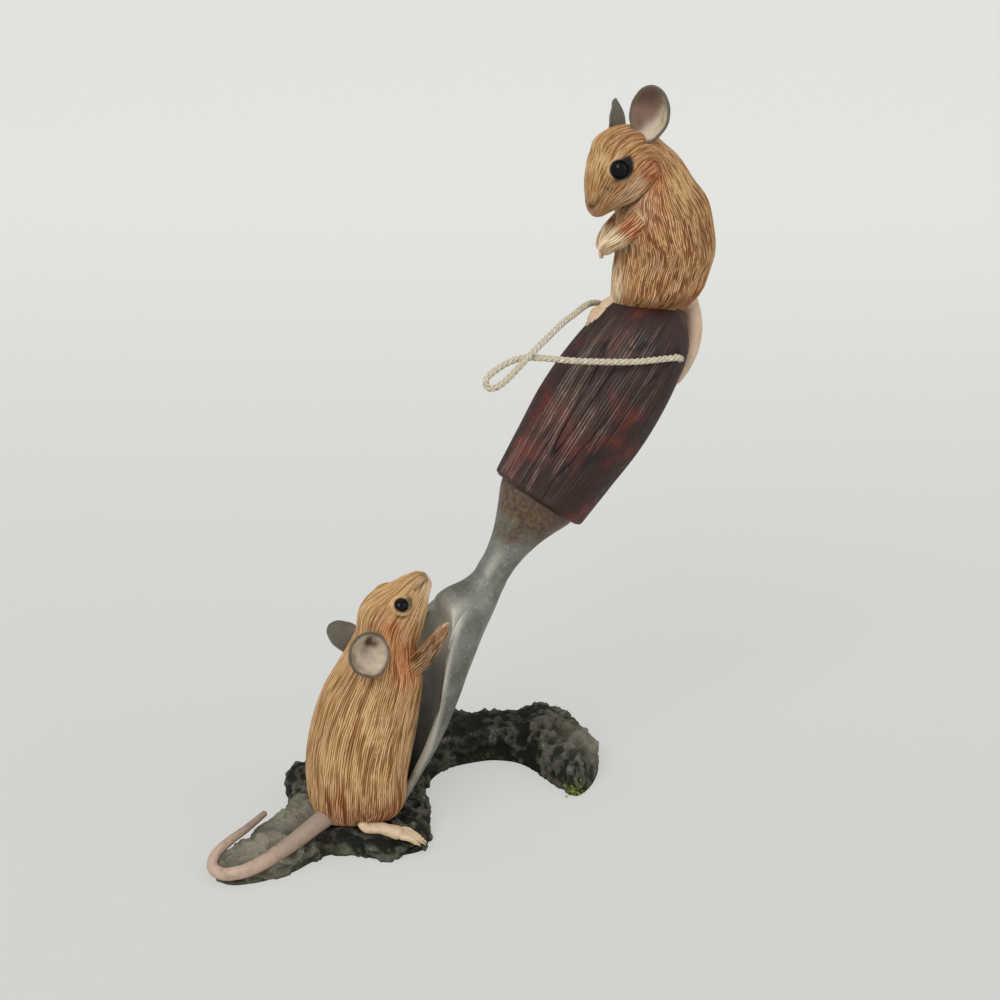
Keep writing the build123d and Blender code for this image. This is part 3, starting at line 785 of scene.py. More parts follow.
def trough_surface(rows, columns):
    """Blade: an arc at the back and, inside it, an arc one wall nearer the middle, joined by two
    rounded lips. A parabola across the inner arc fills its floor towards the neck, where the inner
    arc gives way to the front of a full round. Also gives each row's station, and masks of the
    lips, the inside and its floor."""
    table = np.array(TROUGH)
    station = np.linspace(table[-1, 0], table[0, 0], rows)
    values = smooth_curve(table[:, 0], table, station)
    radius, middle = (values[:, 1] * blade_width)[:, None], (values[:, 3] * blade_width)[:, None]
    middle = middle - radius
    half = np.radians(values[:, 2])[:, None]
    share = shares_round(columns)[None, :]
    outer = share < 0.5
    sweep = np.where(outer, 4 * share - 1, 3 - 4 * share)
    open_share = soft_step(0.07, 0.24, station)[:, None]
    wall = blade_wall * (2 - soft_step(0.10, 0.34, station))[:, None]
    fill = TROUGH_FILL * (1 - soft_step(0.22, 0.80, station))[:, None] * (1 - sweep ** 2)
    front = half + (pi - half) * (1 - np.abs(sweep))

    def between_arcs(inner, closed, full):
        """Outer arc, and inside it the inner arc where the blade is open, else the closed front."""
        return np.where(outer, full, open_share * inner + (1 - open_share) * closed)

    inner_radius = np.maximum(radius - wall, 0.3)
    turn_x, turn_y = np.cos(half * sweep), np.sin(half * sweep)
    x = middle + between_arcs(inner_radius * turn_x - fill, radius * np.cos(front), radius * turn_x)
    y = between_arcs(inner_radius * turn_y, radius * np.sin(front) * np.sign(sweep), radius * turn_y)
    centre = waist - lean_direction(blade_lean) * (station * blade_length)[:, None]
    points = centre[:, None] + x[..., None] * across_direction(blade_lean) + y[..., None] * SIDEWAYS
    lip = np.exp(-((np.abs(sweep) - 1) / 0.05) ** 2) * open_share
    inside = np.where(outer, 0.0, open_share)
    return points, station, lip, inside, inside * (1 - soft_step(0.45, 0.85, np.abs(sweep)))


def neck_surface(rows, columns):
    """Neck: rounds whose diameter grows along a curve from the waist to the socket."""
    share = np.linspace(NECK_START, 1, rows)
    table = np.array(FLARE)
    rise = np.clip(smooth_curve(table[:, 0], table[:, 1], np.maximum(share, 0))[:, 0], 0, 1)
    radius = (waist_diameter + (socket_diameter - waist_diameter) * rise) / 2
    radius = radius * (1 - 0.9 * np.maximum(-share, 0))
    radius = np.concatenate([[0.2], radius, [radius[-1] - 0.25, radius[-1] - 0.9, 0.4]])
    share = np.concatenate([[NECK_START], share, [1.006, 1.008, 1.008]])
    lean = np.radians(blade_lean + (handle_lean - blade_lean) * share)
    across = np.stack([np.cos(lean), 0 * lean, -np.sin(lean)], axis=1)
    centre = waist + (socket_mouth - waist) * share[:, None]
    rings = rings_of(across, np.broadcast_to(SIDEWAYS, across.shape), columns)
    return centre[:, None] + radius[:, None, None] * rings, share


# The handle

# Share of the handle's length, and share of the belly's diameter there
BARREL = [
    (0.0, handle_end_diameter / handle_belly_diameter), (0.20, 0.925), (0.42, 1.0), (0.60, 0.980),
    (0.74, 0.910), (0.84, 0.830), (0.91, 0.700), (0.97, 0.480), (1.01, 0.250), (1.022, 0.0),
]
GROOVES = 108
GROOVE_DEPTH, SPLIT_DEPTH, HOLE_DEPTH = 0.50, 0.55, 0.9
# Side of the handle that faces the main lamp, and the width of that band: its grooves run deeper and its crests
# get a painted highlight
WEATHERED_LIT_SIDE, WEATHERED_LIT_WIDTH = radians(226), radians(42)
HANDLE_EDGE = 1.4


def barrel_radius(share):
    """Radius of the handle at a share of its length."""
    table = np.array(BARREL)
    return np.interp(share, table[:, 0], table[:, 1]) * handle_belly_diameter / 2


def handle_place(share, angle, stand_off):
    """Point at a share of the handle's length, round it by an angle, off its surface."""
    across = across_direction(handle_lean) * cos(radians(angle)) + SIDEWAYS * sin(radians(angle))
    return socket_mouth + handle_axis * (share * handle_length) + across * (barrel_radius(share) + stand_off)


def barrel_surface(rows, columns):
    """Turned barrel: a smooth profile turned round the handle's axis. Grooves run along it at the
    zeros of a sine round the handle, deeper in the weathered band that faces the main lamp, with
    splits, and a hollow at each cord hole. Also gives masks of the relief, the painted highlight on
    the crests of that band, and the holes."""
    table = np.array(BARREL)
    share = np.concatenate([np.linspace(0, 0.9, rows), np.linspace(0.905, 1.0218, rows // 5)])
    radius = smooth_curve(table[:, 0], table[:, 1], share)[:, 0] * handle_belly_diameter / 2
    radius = np.maximum(radius, 0.2)
    edge = np.clip(share * handle_length / HANDLE_EDGE, 0, 1)
    radius = radius - 1.2 * (1 - np.sqrt(1 - (1 - edge) ** 2))
    share, radius = np.concatenate([[0, 0], share]), np.concatenate([[0.3, radius[0] - 3], radius])
    ring = rings_of(across_direction(handle_lean)[None], SIDEWAYS[None], columns)
    centre = socket_mouth + handle_axis * (share * handle_length)[:, None]
    points = centre[:, None] + radius[:, None, None] * ring
    along = share[:, None] * handle_length
    around = shares_round(columns)[None, :]
    drift = 1.8 * ring_noise(41, 12, around, along / 30)
    phase = around * GROOVES + drift
    crest = np.abs(np.sin(pi * phase))
    strength = lattice_noise(42, phase, along / 13, repeats=(GROOVES, NOISE_CELLS))
    splits = lattice_noise(43, around * 36 + 0.8 * drift, along / 36, repeats=(36, NOISE_CELLS))
    split = np.exp(-((splits - 0.5) / 0.04) ** 2)
    band = np.exp(-((around * tau - WEATHERED_LIT_SIDE) / WEATHERED_LIT_WIDTH) ** 2)
    band = band * soft_step(0.98, 0.75, share)[:, None]
    patchy = 0.7 * (ring_noise(44, 10, around, along / 20) - 0.5)
    weathered_and_lit = np.clip(0.22 + 0.85 * band + patchy, 0, 1)
    depth = (1 - crest ** 0.8) * (0.2 + 0.8 * strength) * (0.3 + 0.7 * weathered_and_lit)
    depth = GROOVE_DEPTH * depth + SPLIT_DEPTH * split * weathered_and_lit
    quiet = soft_step(0.0, 0.03, share)[:, None] * (1 - 0.7 * soft_step(0.9, 0.98, share))[:, None]
    hole = np.minimum(*[distance(points, np.array(place) / MM) for place in (CORD_EXIT, CORD_FAR_EXIT)])
    hollow = np.exp(-(hole / 1.9) ** 2)
    moved = points - normals_of(points) * (depth * quiet + HOLE_DEPTH * hollow)[..., None]
    # Painted highlight: pale on the crests, strongest in the band that faces the main lamp.
    dust = crest ** 2 * soft_step(0.42, 0.78, strength) * soft_step(0.35, 0.9, weathered_and_lit) * quiet
    return moved, np.clip(1 - depth / GROOVE_DEPTH, 0, 1), dust, hollow


# The mice

# Rings of each mouse from its seat to its nose, in shares of its height: centre x, y, z, the lean of
# the ring in degrees, half depth and half width
UPPER_MOUSE = [
    (-0.240, 0.100, -0.270, 0, 0.110, 0.120), (-0.140, 0.065, -0.120, 0, 0.175, 0.155),
    (-0.068, 0.030, 0.000, 0, 0.230, 0.188), (-0.060, 0, 0.070, 0, 0.243, 0.238),
    (-0.035, 0, 0.177, 0, 0.260, 0.254), (-0.012, 0, 0.304, 0, 0.269, 0.250),
    (-0.028, 0, 0.412, -6, 0.269, 0.234), (-0.046, 0, 0.490, -14, 0.260, 0.218),
    (-0.084, 0, 0.578, -26, 0.216, 0.196), (-0.110, 0, 0.656, -41, 0.186, 0.186),
    (-0.137, 0, 0.725, -65, 0.152, 0.176), (-0.164, 0, 0.774, -93, 0.158, 0.174),
    (-0.200, 0, 0.792, -119, 0.178, 0.182), (-0.258, 0, 0.767, -140, 0.200, 0.192),
    (-0.310, 0, 0.703, -146, 0.174, 0.170), (-0.358, 0, 0.636, -150, 0.142, 0.142),
    (-0.415, 0, 0.546, -155, 0.074, 0.076), (-0.442, 0, 0.490, -158, 0.026, 0.028),
]
LOWER_MOUSE = [
    (0.000, 0, 0.030, 0, 0.100, 0.100), (-0.006, 0, 0.070, 0, 0.150, 0.148),
    (-0.006, 0, 0.120, 0, 0.178, 0.180), (0.000, 0, 0.224, 0, 0.198, 0.202),
    (0.026, 0, 0.378, 6, 0.205, 0.202), (0.066, 0, 0.520, 14, 0.193, 0.188),
    (0.116, 0, 0.647, 20, 0.163, 0.160), (0.140, 0, 0.752, 26, 0.132, 0.133),
    (0.152, 0, 0.831, 32, 0.129, 0.134), (0.186, 0, 0.884, 40, 0.117, 0.126),
    (0.232, 0, 0.932, 41, 0.086, 0.092), (0.270, 0, 0.974, 41, 0.056, 0.058),
    (0.300, 0, 1.006, 41, 0.030, 0.030),
]
# Swellings and hollows: place, radius and height. Each one of a pair has its mirror image, and the
# flanks' places are from the upper mouse's seat.
UPPER_FLANKS = [((-2, -13, 13), 8, 0.7), ((-14, -12, 24), 4, -0.4), ((-2, -10, 31), 6, 0.4)]
UPPER_THROAT_PAIRS = [((78.5, 8.5, 192.5), 3.6, 1.5), ((75.0, 8.5, 189.5), 3.6, 1.5)]
UPPER_LIP_PAIRS = [((68.0, 4.6, 193.0), 3.0, 0.5)]
LOWER_PAIRS = [((-12, 14, 18.5), 7.5, 1.0), ((1, 10, 56.5), 5.0, 1.3), ((-3, 11, 14.5), 6.5, 1.8)]
LOWER_SINGLE = [
    ((4, 0, 64.5), 5.0, 0.8), ((-1.1, 0, 83.1), 5.0, -1.1), ((-3.6, 0, 79.8), 4.5, -0.9),
    ((-9.0, -8.5, 66.5), 3.2, 2.2), ((-25, -5, 12.5), 6.0, 1.2),
]
LOWER_LIP_PAIRS = [((11.3, 2.6, 82.0), 1.9, 0.45), ((7.5, 2.0, 86.5), 2.2, -0.2)]
LOWER_NOSE = ((11.6, 0, 85.8), 1.4, 0.35)

# Places in shares of the mouse's height from its seat, the near one first: eyes, ears with the way
# they face, near foreleg from shoulder to paw, and heels with the way that the toes point
UPPER_EYES = [(-0.368, -0.130, 0.748), (-0.368, 0.130, 0.748)]
LOWER_EYES = [(0.166, -0.084, 0.925), (0.166, 0.078, 0.915)]
UPPER_EYE_DIAMETER, LOWER_EYE_DIAMETER = 5.8, 5.2
UPPER_EARS = [((-0.210, -0.134, 1.014), (-0.75, -0.62, 0.15)), ((-0.262, 0.161, 0.922), (-0.79, 0.61, 0.05))]
LOWER_EARS = [((0.019, -0.146, 0.782), (0.35, -0.85, 0.40)), ((0.021, 0.105, 0.745), (0.75, 0.60, 0.30))]
LOWER_NEAR_EAR_SHIFT = (-0.5, -1.5, 0.6)
UPPER_ARM = [
    (-0.12, -0.06, 0.55), (-0.26, -0.092, 0.44), (-0.345, -0.075, 0.375), (-0.392, -0.05, 0.335),
    (-0.410, -0.035, 0.300),
]
LOWER_ARM = [
    (0.17, -0.06, 0.62), (0.215, -0.125, 0.70), (0.250, -0.175, 0.775), (0.278, -0.196, 0.832),
    (0.300, -0.200, 0.870),
]
ARM_DIAMETER, FOOT_WIDTH = 6.4, 7.0
UPPER_FEET = [((-0.215, 0.070, 0.045), (-0.84, 0.06, -0.52)), ((-0.159, 0.179, 0.004), (-0.78, 0.16, -0.61))]
LOWER_FEET = [((-0.03, -0.17, 0.070), (0.93, -0.25, -0.30)), ((-0.03, 0.17, 0.070), (0.93, 0.25, -0.30))]


def eye_surface(centre, diameter):
    """Bead: a sphere drawn as rings, a little flattened away from the middle of the head."""
    turn = np.linspace(0.03, pi - 0.03, 40)[:, None]
    angle = shares_round(64) * tau
    ring = [np.sin(turn) * np.cos(angle), np.cos(turn) * np.ones(64), np.sin(turn) * np.sin(angle)]
    return np.asarray(centre) + np.stack(ring, axis=-1) * diameter / 2 * np.array([1, 0.94, 1])


def ear_surface(centre, facing, width, height, dish, wall, seed):
    """Dished ear: a paraboloid cup from its middle out to the rim, a rounded rim, and the same cup one
    wall behind it, as rings whose outline is an ellipse drawn in a little towards the root. Also
    gives the mask of the inside and the places across and up the ear."""
    facing = unit(facing)
    side = unit(np.cross([0, 0, 1.0], facing))
    up = np.cross(facing, side)
    inner = np.linspace(0.02, 1, 34)
    lip = np.linspace(0, pi, 9)[1:-1]
    cup = -dish * (1 - inner ** 2)
    reach = np.concatenate([inner, 1 + 0 * lip, inner[::-1]])[:, None]
    depth = np.concatenate([cup, wall / 2 * (np.cos(lip) - 1), cup[::-1] - wall])[:, None]
    grow = np.concatenate([0 * inner, wall / 2 * np.sin(lip), 0 * inner])[:, None]
    around = shares_round(160)
    angle = around * tau
    low = soft_step(0.2, 1.0, -np.sin(angle))
    x = (reach * width / 2 * (1 - 0.16 * low) + grow) * np.cos(angle)
    y = (reach * height / 2 + grow) * np.sin(angle)
    folds = 0.5 * ring_noise(seed, 10, around[None, :], reach * 2) - 0.25
    z = depth + folds * reach ** 2 + 0.10 * np.cos(angle * 9 + seed) * reach ** 4
    points = np.asarray(centre) + x[..., None] * side + y[..., None] * up + z[..., None] * facing
    front = np.concatenate([inner * 0 + 1, 0 * lip, inner * 0])[:, None]
    return points, np.broadcast_to(front * (1 - soft_step(0.86, 0.99, reach)), x.shape), x, y


def foot_surfaces(heel, toward, length, width, body_middle):
    """Long foot: a flattened tube from heel to ball, and five toes fanned from it, each a thinner
    tube with a knuckle and a small claw."""
    forward = unit(toward)
    side = unit(np.cross(forward, [0, 0, 1.0]))
    up = np.cross(side, forward)
    heel = np.asarray(heel)
    inward = unit(np.asarray(body_middle) - heel) * np.array([1, 1, 0])
    spine = [heel + inward * 3.6 + np.array([0, 0, 2.2])]
    spine += [heel + forward * length * share + up * rise
              for share, rise in ((0, 0), (0.2, 0.5), (0.45, 0.3), (0.66, 0))]
    radii = [width * share / 2 for share in (0.62, 0.56, 0.58, 0.68, 0.84)]
    body = tube(spine, radii, 40, 48, flat=0.76, lift=up)
    toes = []
    for spread, reach in ((-0.62, 0.25), (-0.31, 0.34), (0.0, 0.37), (0.31, 0.34), (0.62, 0.24)):
        root = spine[-1] - forward * 1.6 + side * spread * width * 0.45
        tip = spine[-1] + forward * length * reach + side * spread * width * 0.62 - up * 0.9
        knuckle = root * 0.45 + tip * 0.55 + up * 0.75
        toes.append(tube([root, knuckle, tip], [0.95, 0.98, 0.62], 16, 20))
        claw = [tip - forward * 0.3, tip + forward * 0.7 - up * 0.15, tip + forward * 1.25 - up * 0.7]
        toes.append(tube(claw, [0.36, 0.26, 0.08], 6, 10))
    return body, toes


def arm_surfaces(points, widths, seed, paw_direction):
    """Foreleg: a furred tube, and a paw of four short fingers at its end."""
    arm = tube(points, [width / 2 for width in widths], 110, 150)
    arm, relief, tone = furred(arm, seed, 0.7, 4.0, 0.30)
    forward = unit(paw_direction)
    side = unit(np.cross(forward, [0.2, 0.5, 1.0]))
    lift = np.cross(side, forward)
    tip = np.asarray(points[-1])
    fingers = []
    for spread in (-0.9, -0.3, 0.3, 0.9):
        root = tip - forward * 1.0 + side * spread * 0.7
        end = tip + forward * (1.5 - 0.5 * abs(spread)) + side * spread * 0.9 - lift * 0.5
        fingers.append(tube([root, (root + end) / 2 + lift * 0.35, end], [0.50, 0.48, 0.32], 12, 16))
    return arm, relief, tone, fingers


# Lower tail in shares of the clod's length from the blade's tip, upper tail from the mouse's seat in
# shares of its height and then down the handle: share of its length, degrees round it
LOWER_TAIL = [
    (-0.155, -0.035, 0.062), (-0.211, -0.048, 0.041), (-0.255, -0.055, 0.020), (-0.303, -0.066, 0.004),
    (-0.350, -0.076, -0.008), (-0.393, -0.078, -0.015), (-0.429, -0.060, -0.020), (-0.441, -0.022, -0.020),
    (-0.425, 0.008, -0.011), (-0.388, 0.030, 0.001), (-0.346, 0.046, 0.012), (-0.286, 0.078, 0.026),
]
UPPER_TAIL_ROOT = [(0.120, 0, 0.040), (0.160, 0, -0.060), (0.176, -0.01, -0.170)]
UPPER_TAIL = [(0.84, -4), (0.77, 0), (0.705, 14), (0.655, 38), (0.63, 68), (0.625, 98)]
TAIL_ROOT, TAIL_TIP = 5.9, 1.8
TAIL_COLUMNS, SCALE_STEP = 56, 0.9


def tail_surface(points, radii, rows):
    """Tail: a tapering tube with low rings of scales round it."""
    grid = tube(points, radii, rows, TAIL_COLUMNS)
    girth, along = strand_map(grid)
    rings = np.abs(np.sin(along / SCALE_STEP * pi))[:, None]
    scales = ring_noise(7, TAIL_COLUMNS // 2, shares_round(TAIL_COLUMNS)[None, :],
                        (along / SCALE_STEP)[:, None])
    return grid + normals_of(grid) * (0.07 * rings + 0.10 * (scales - 0.5))[..., None], along / along[-1]


def place_on(seat, size, shares):
    """Places given in shares of a size from a seat."""
    return [seat + np.array(share) * size for share in shares]


def crease(points, start, end, width):
    """1 on the line between two places seen from the side, falling to 0 beside it as a bell curve."""
    start, end = np.asarray(start), np.asarray(end)
    side = soft_step(0.2, 1.2, points[..., 1] * np.sign(start[1] + end[1]))
    line = (end - start)[[0, 2]]
    offset = points[..., [0, 2]] - start[[0, 2]]
    share = np.clip((offset @ line) / (line @ line), 0, 1)
    away = np.linalg.norm(offset - share[..., None] * line, axis=-1)
    return np.exp(-(away / width) ** 2) * side


def creases(points, start, end, width):
    """The same crease on both sides of a face."""
    return np.maximum(*[crease(points, start * side, end * side, width) for side in (1, FLIP)])


def almond(points, eye, nose, ear, diameter):
    """Dark skin round an eye: an ellipse round the bead, drawn out to a corner towards the ear."""
    lie = unit(np.asarray(ear) - np.asarray(nose))
    offset = (points - np.asarray(eye)) * np.array([1, 0.4, 1])
    along = offset @ lie
    across = np.linalg.norm(offset - along[..., None] * lie, axis=-1)
    reach = np.where(along > 0, diameter * 0.88, diameter * 0.72)
    width = diameter * 0.56 * (1 - 0.45 * soft_step(0.2 * diameter, 0.9 * diameter, np.abs(along)))
    return 1 - soft_step(0.72, 1.08, np.sqrt((along / reach) ** 2 + (across / width) ** 2))


def socketed(points, centres, diameter):
    """The head with a low lid round each bead and a hollow under it."""
    normals = normals_of(points)
    away = np.minimum.reduce([distance(points, centre) for centre in centres])
    lid = 0.55 * np.exp(-((away - diameter * 0.56) / 0.6) ** 2)
    hollow = -1.6 * (1 - soft_step(diameter * 0.30, diameter * 0.50, away))
    return points + normals * (lid + hollow)[..., None], away


# Tools of the panel: one for each group of pieces

class FigurineSizes(bpy.types.PropertyGroup):
    strand_width: bpy.props.FloatProperty(
        name="Strand width", description="Width of a carved strand of fur",
        default=0.00072, min=0.0003, max=0.003, unit="LENGTH")
    strand_length: bpy.props.FloatProperty(
        name="Strand length", description="Length over which a strand bends",
        default=0.006, min=0.001, max=0.02, unit="LENGTH")
    fur_depth: bpy.props.FloatProperty(
        name="Fur depth", description="Depth of the grooves between strands",
        default=0.00045, min=0.0, max=0.002, unit="LENGTH")
    cord_pitch: bpy.props.FloatProperty(
        name="Cord pitch", description="Length of one turn of the cord's strands",
        default=0.0052, min=0.002, max=0.02, unit="LENGTH")
    lamp_level: bpy.props.FloatProperty(
        name="Lamp level", description="Power of the main lamp",
        default=2.6, min=0.0, max=50.0, unit="POWER")
    world_level: bpy.props.FloatProperty(
        name="World level", description="Strength of the light from all sides",
        default=0.75, min=0.0, max=4.0, subtype="FACTOR")


class FigurineColours(bpy.types.PropertyGroup):
    floor: bpy.props.FloatVectorProperty(
        name="Floor", description="Colour of the floor and backdrop", size=4,
        default=screen(208, 208, 205), min=0.0, max=1.0, subtype="COLOR")


# Places on the stage, in metres: camera, paper floor and backdrop

CAMERA_TURN, CAMERA_TILT, CAMERA_DISTANCE = radians(24), radians(20), 0.5
CAMERA_AIM = np.array([35.846, 0, 104.744]) * MM
FLOOR_FRONT, FLOOR_BACK, FLOOR_BEND, BACKDROP_TOP, FLOOR_HALF_WIDTH = -1.2, 0.9, 0.5, 2.4, 2.5
FLOOR_DROP = 0.0002
PAPER_GLOW = 0.7
AHEAD = np.array([sin(CAMERA_TURN), cos(CAMERA_TURN), 0])
BESIDE = np.array([cos(CAMERA_TURN), -sin(CAMERA_TURN), 0])


def placed_axes(right, up, back, place):
    """Matrix of a camera or lamp from its three directions and its place."""
    return Matrix([[right[k], up[k], back[k], place[k]] for k in range(3)] + [[0, 0, 0, 1]])


def floor_mesh():
    """The floor runs level, then curves up into the backdrop behind the object."""
    turn = np.linspace(0, pi / 2, 40)
    run = np.concatenate([[FLOOR_FRONT], FLOOR_BACK + FLOOR_BEND * np.sin(turn), [FLOOR_BACK + FLOOR_BEND]])
    rise = np.concatenate([[0], FLOOR_BEND - FLOOR_BEND * np.cos(turn), [BACKDROP_TOP]]) - FLOOR_DROP
    across = np.linspace(-FLOOR_HALF_WIDTH, FLOOR_HALF_WIDTH, 3)
    level = run[:, None, None] * AHEAD + across[None, :, None] * BESIDE
    points = level + rise[:, None, None] * np.array([0, 0, 1.0])
    index = np.arange(len(run) * 3).reshape(-1, 3)
    faces = np.stack([index[:-1, :-1], index[:-1, 1:], index[1:, 1:], index[1:, :-1]], axis=-1).reshape(-1, 4)
    mesh = bpy.data.meshes.new("floor")
    mesh.from_pydata(points.reshape(-1, 3).tolist(), [], faces.tolist())
    mesh.shade_smooth()
    return mesh


def paper_material(floor_colour):
    """Pale paper that takes soft shadows, and for the camera also glows as painted light, brighter towards the
    back and up the backdrop.
    """
    material, tree = new_material("floor_paper")
    diffuse = put(tree, "BsdfDiffuse", {"Color": floor_colour, "Roughness": 0.5})
    place = put(tree, "TexCoord").outputs["Object"]
    behind = put(tree, "VectorMath", {0: place, 1: tuple(AHEAD)}, operation="DOT_PRODUCT").outputs["Value"]
    height = put(tree, "SeparateXYZ", {0: place}).outputs["Z"]
    glow_colour = blend_paint(tree, ranged(tree, behind, -0.2, 1.1), PAINTS["front_glow"], PAINTS["back_glow"])
    glow_colour = blend_paint(tree, ranged(tree, height, 0.2, 1.5), glow_colour, PAINTS["high_glow"])
    glow = put(tree, "Emission", {"Color": glow_colour, "Strength": 1.0})
    share = times(tree, put(tree, "LightPath").outputs["Is Camera Ray"], PAPER_GLOW)
    mixed = put(tree, "MixShader", {0: share, 1: diffuse.outputs[0], 2: glow.outputs[0]})
    put(tree, "OutputMaterial", {"Surface": mixed.outputs[0]})
    return material


class FIGURINE_OT_stage(bpy.types.Operator):
    """Floor, backdrop, lamps and camera"""
    bl_idname = "figurine.stage"
    bl_label = "Stage"

    def execute(self, context):
        scene = context.scene
        sizes, colours = scene.figurine_sizes, scene.figurine_colours
        forward = AHEAD * cos(CAMERA_TILT) - np.array([0, 0, sin(CAMERA_TILT)])
        camera = bpy.data.objects.new("camera", bpy.data.cameras.new("camera"))
        camera.data.lens, camera.data.sensor_width = 60.0, 36.0
        camera.data.clip_start = 0.01
        camera.matrix_world = placed_axes(BESIDE, np.cross(BESIDE, forward), -forward,
                                          CAMERA_AIM - CAMERA_DISTANCE * forward)
        scene.collection.objects.link(camera)
        scene.camera = camera

        mesh = floor_mesh()
        floor = bpy.data.objects.new("floor", mesh)
        scene.collection.objects.link(floor)
        mesh.materials.append(paper_material(tuple(colours.floor)))

        for name, spot, size, power in (
            ("key_lamp", (-0.75, -0.75, 1.05), 0.9, sizes.lamp_level * 4),
            ("fill_lamp", (0.9, -0.9, 0.7), 1.2, sizes.lamp_level * 1.1),
        ):
            lamp = bpy.data.lights.new(name, "AREA")
            lamp.shape, lamp.size, lamp.energy = "DISK", size, power
            holder = bpy.data.objects.new(name, lamp)
            back = unit(np.array(spot) - CAMERA_AIM)
            level = unit(np.cross([0, 0, 1.0], back))
            holder.matrix_world = placed_axes(level, np.cross(back, level), back, spot)
            scene.collection.objects.link(holder)
        world = bpy.data.worlds.new("studio")
        world.use_nodes = True
        light = world.node_tree.nodes["Background"].inputs
        light["Color"].default_value, light["Strength"].default_value = (1, 1, 1, 1), sizes.world_level
        scene.world = world
        scene.view_settings.view_transform = "Standard"
        return {"FINISHED"}


class FIGURINE_OT_cord(bpy.types.Operator):
    """Twisted cotton cord through the handle"""
    bl_idname = "figurine.cord"
    bl_label = "Cord"

    def execute(self, context):
        path, pitch = cord_centreline(), context.scene.figurine_sizes.cord_pitch
        shell = Shell()
        for grid in twisted_strands(path / MM, CORD_DIAMETER / MM, pitch / MM, 12):
            shell.add(grid)
        cord = shell.piece("cord_strands", MATERIALS["cord"], ["hanging_cord"], "cord_cotton")
        return {"FINISHED"}


MOSS_ROOT = np.array([60.5, -4.2, 2.2])
MOSS_SPREAD, MOSS_LEAN = np.array([1.5, 0.7, 1.1]), np.array([-0.1, -0.55, 0.6])
MOSS_LEAVES = 26


class FIGURINE_OT_earth(bpy.types.Operator):
    """Crumbly clod of earth with moss"""
    bl_idname = "figurine.earth"
    bl_label = "Earth"

    def execute(self, context):
        shell = Shell()
        rng = np.random.default_rng(5)
        for table, rows in ((CLOD, 520), (STUB, 60)):
            points, relief = clod_surface(table, rows, 150, 60)
            low = 1 - soft_step(0.8, 4.5, points[..., 2])
            moss = 0.6 * low * soft_step(-0.2, 0.5, cloud_noise(90, points, 10.0, 2))
            green = np.maximum(0.7 * patch(points, (-33, 16, 8), 7), patch(points, (61, -4, 2), 4))
            pale = np.maximum(patch(points, (-46, -2, 9), 12), patch(points, (-32, 8, 10), 10))
            pale = np.maximum(pale, 0.8 * patch(points, (75, 10, 12), 9))
            # Two broad darker patches on the far half of the clod.
            damp = np.maximum(patch(points, (14, 24, 6), 17), patch(points, (36, 36, 6), 17))
            shell.add(points, relief=relief, moss=np.clip(moss + green, 0, 1), pale=pale, damp=damp)
        shell.piece("clod_of_earth", MATERIALS["earth"], ["earth_base"], "earth")
        tuft = Shell()
        for k in range(MOSS_LEAVES):
            root = MOSS_ROOT + rng.normal(0, 1, 3) * MOSS_SPREAD
            tip = root + unit(MOSS_LEAN + rng.normal(0, 0.45, 3)) * rng.uniform(0.9, 1.7)
            tuft.add(tube([root, (root + tip) / 2, tip], [0.26, 0.34, 0.14], 6, 10, flat=0.5))
        tuft.piece("moss_tuft", MATERIALS["leaf"], [], "earth")
        return {"FINISHED"}


# Way that the steel's side lit by the main lamp faces; that side gets a painted highlight
LIT_SIDE = unit([-0.75, -0.65, 0.1])


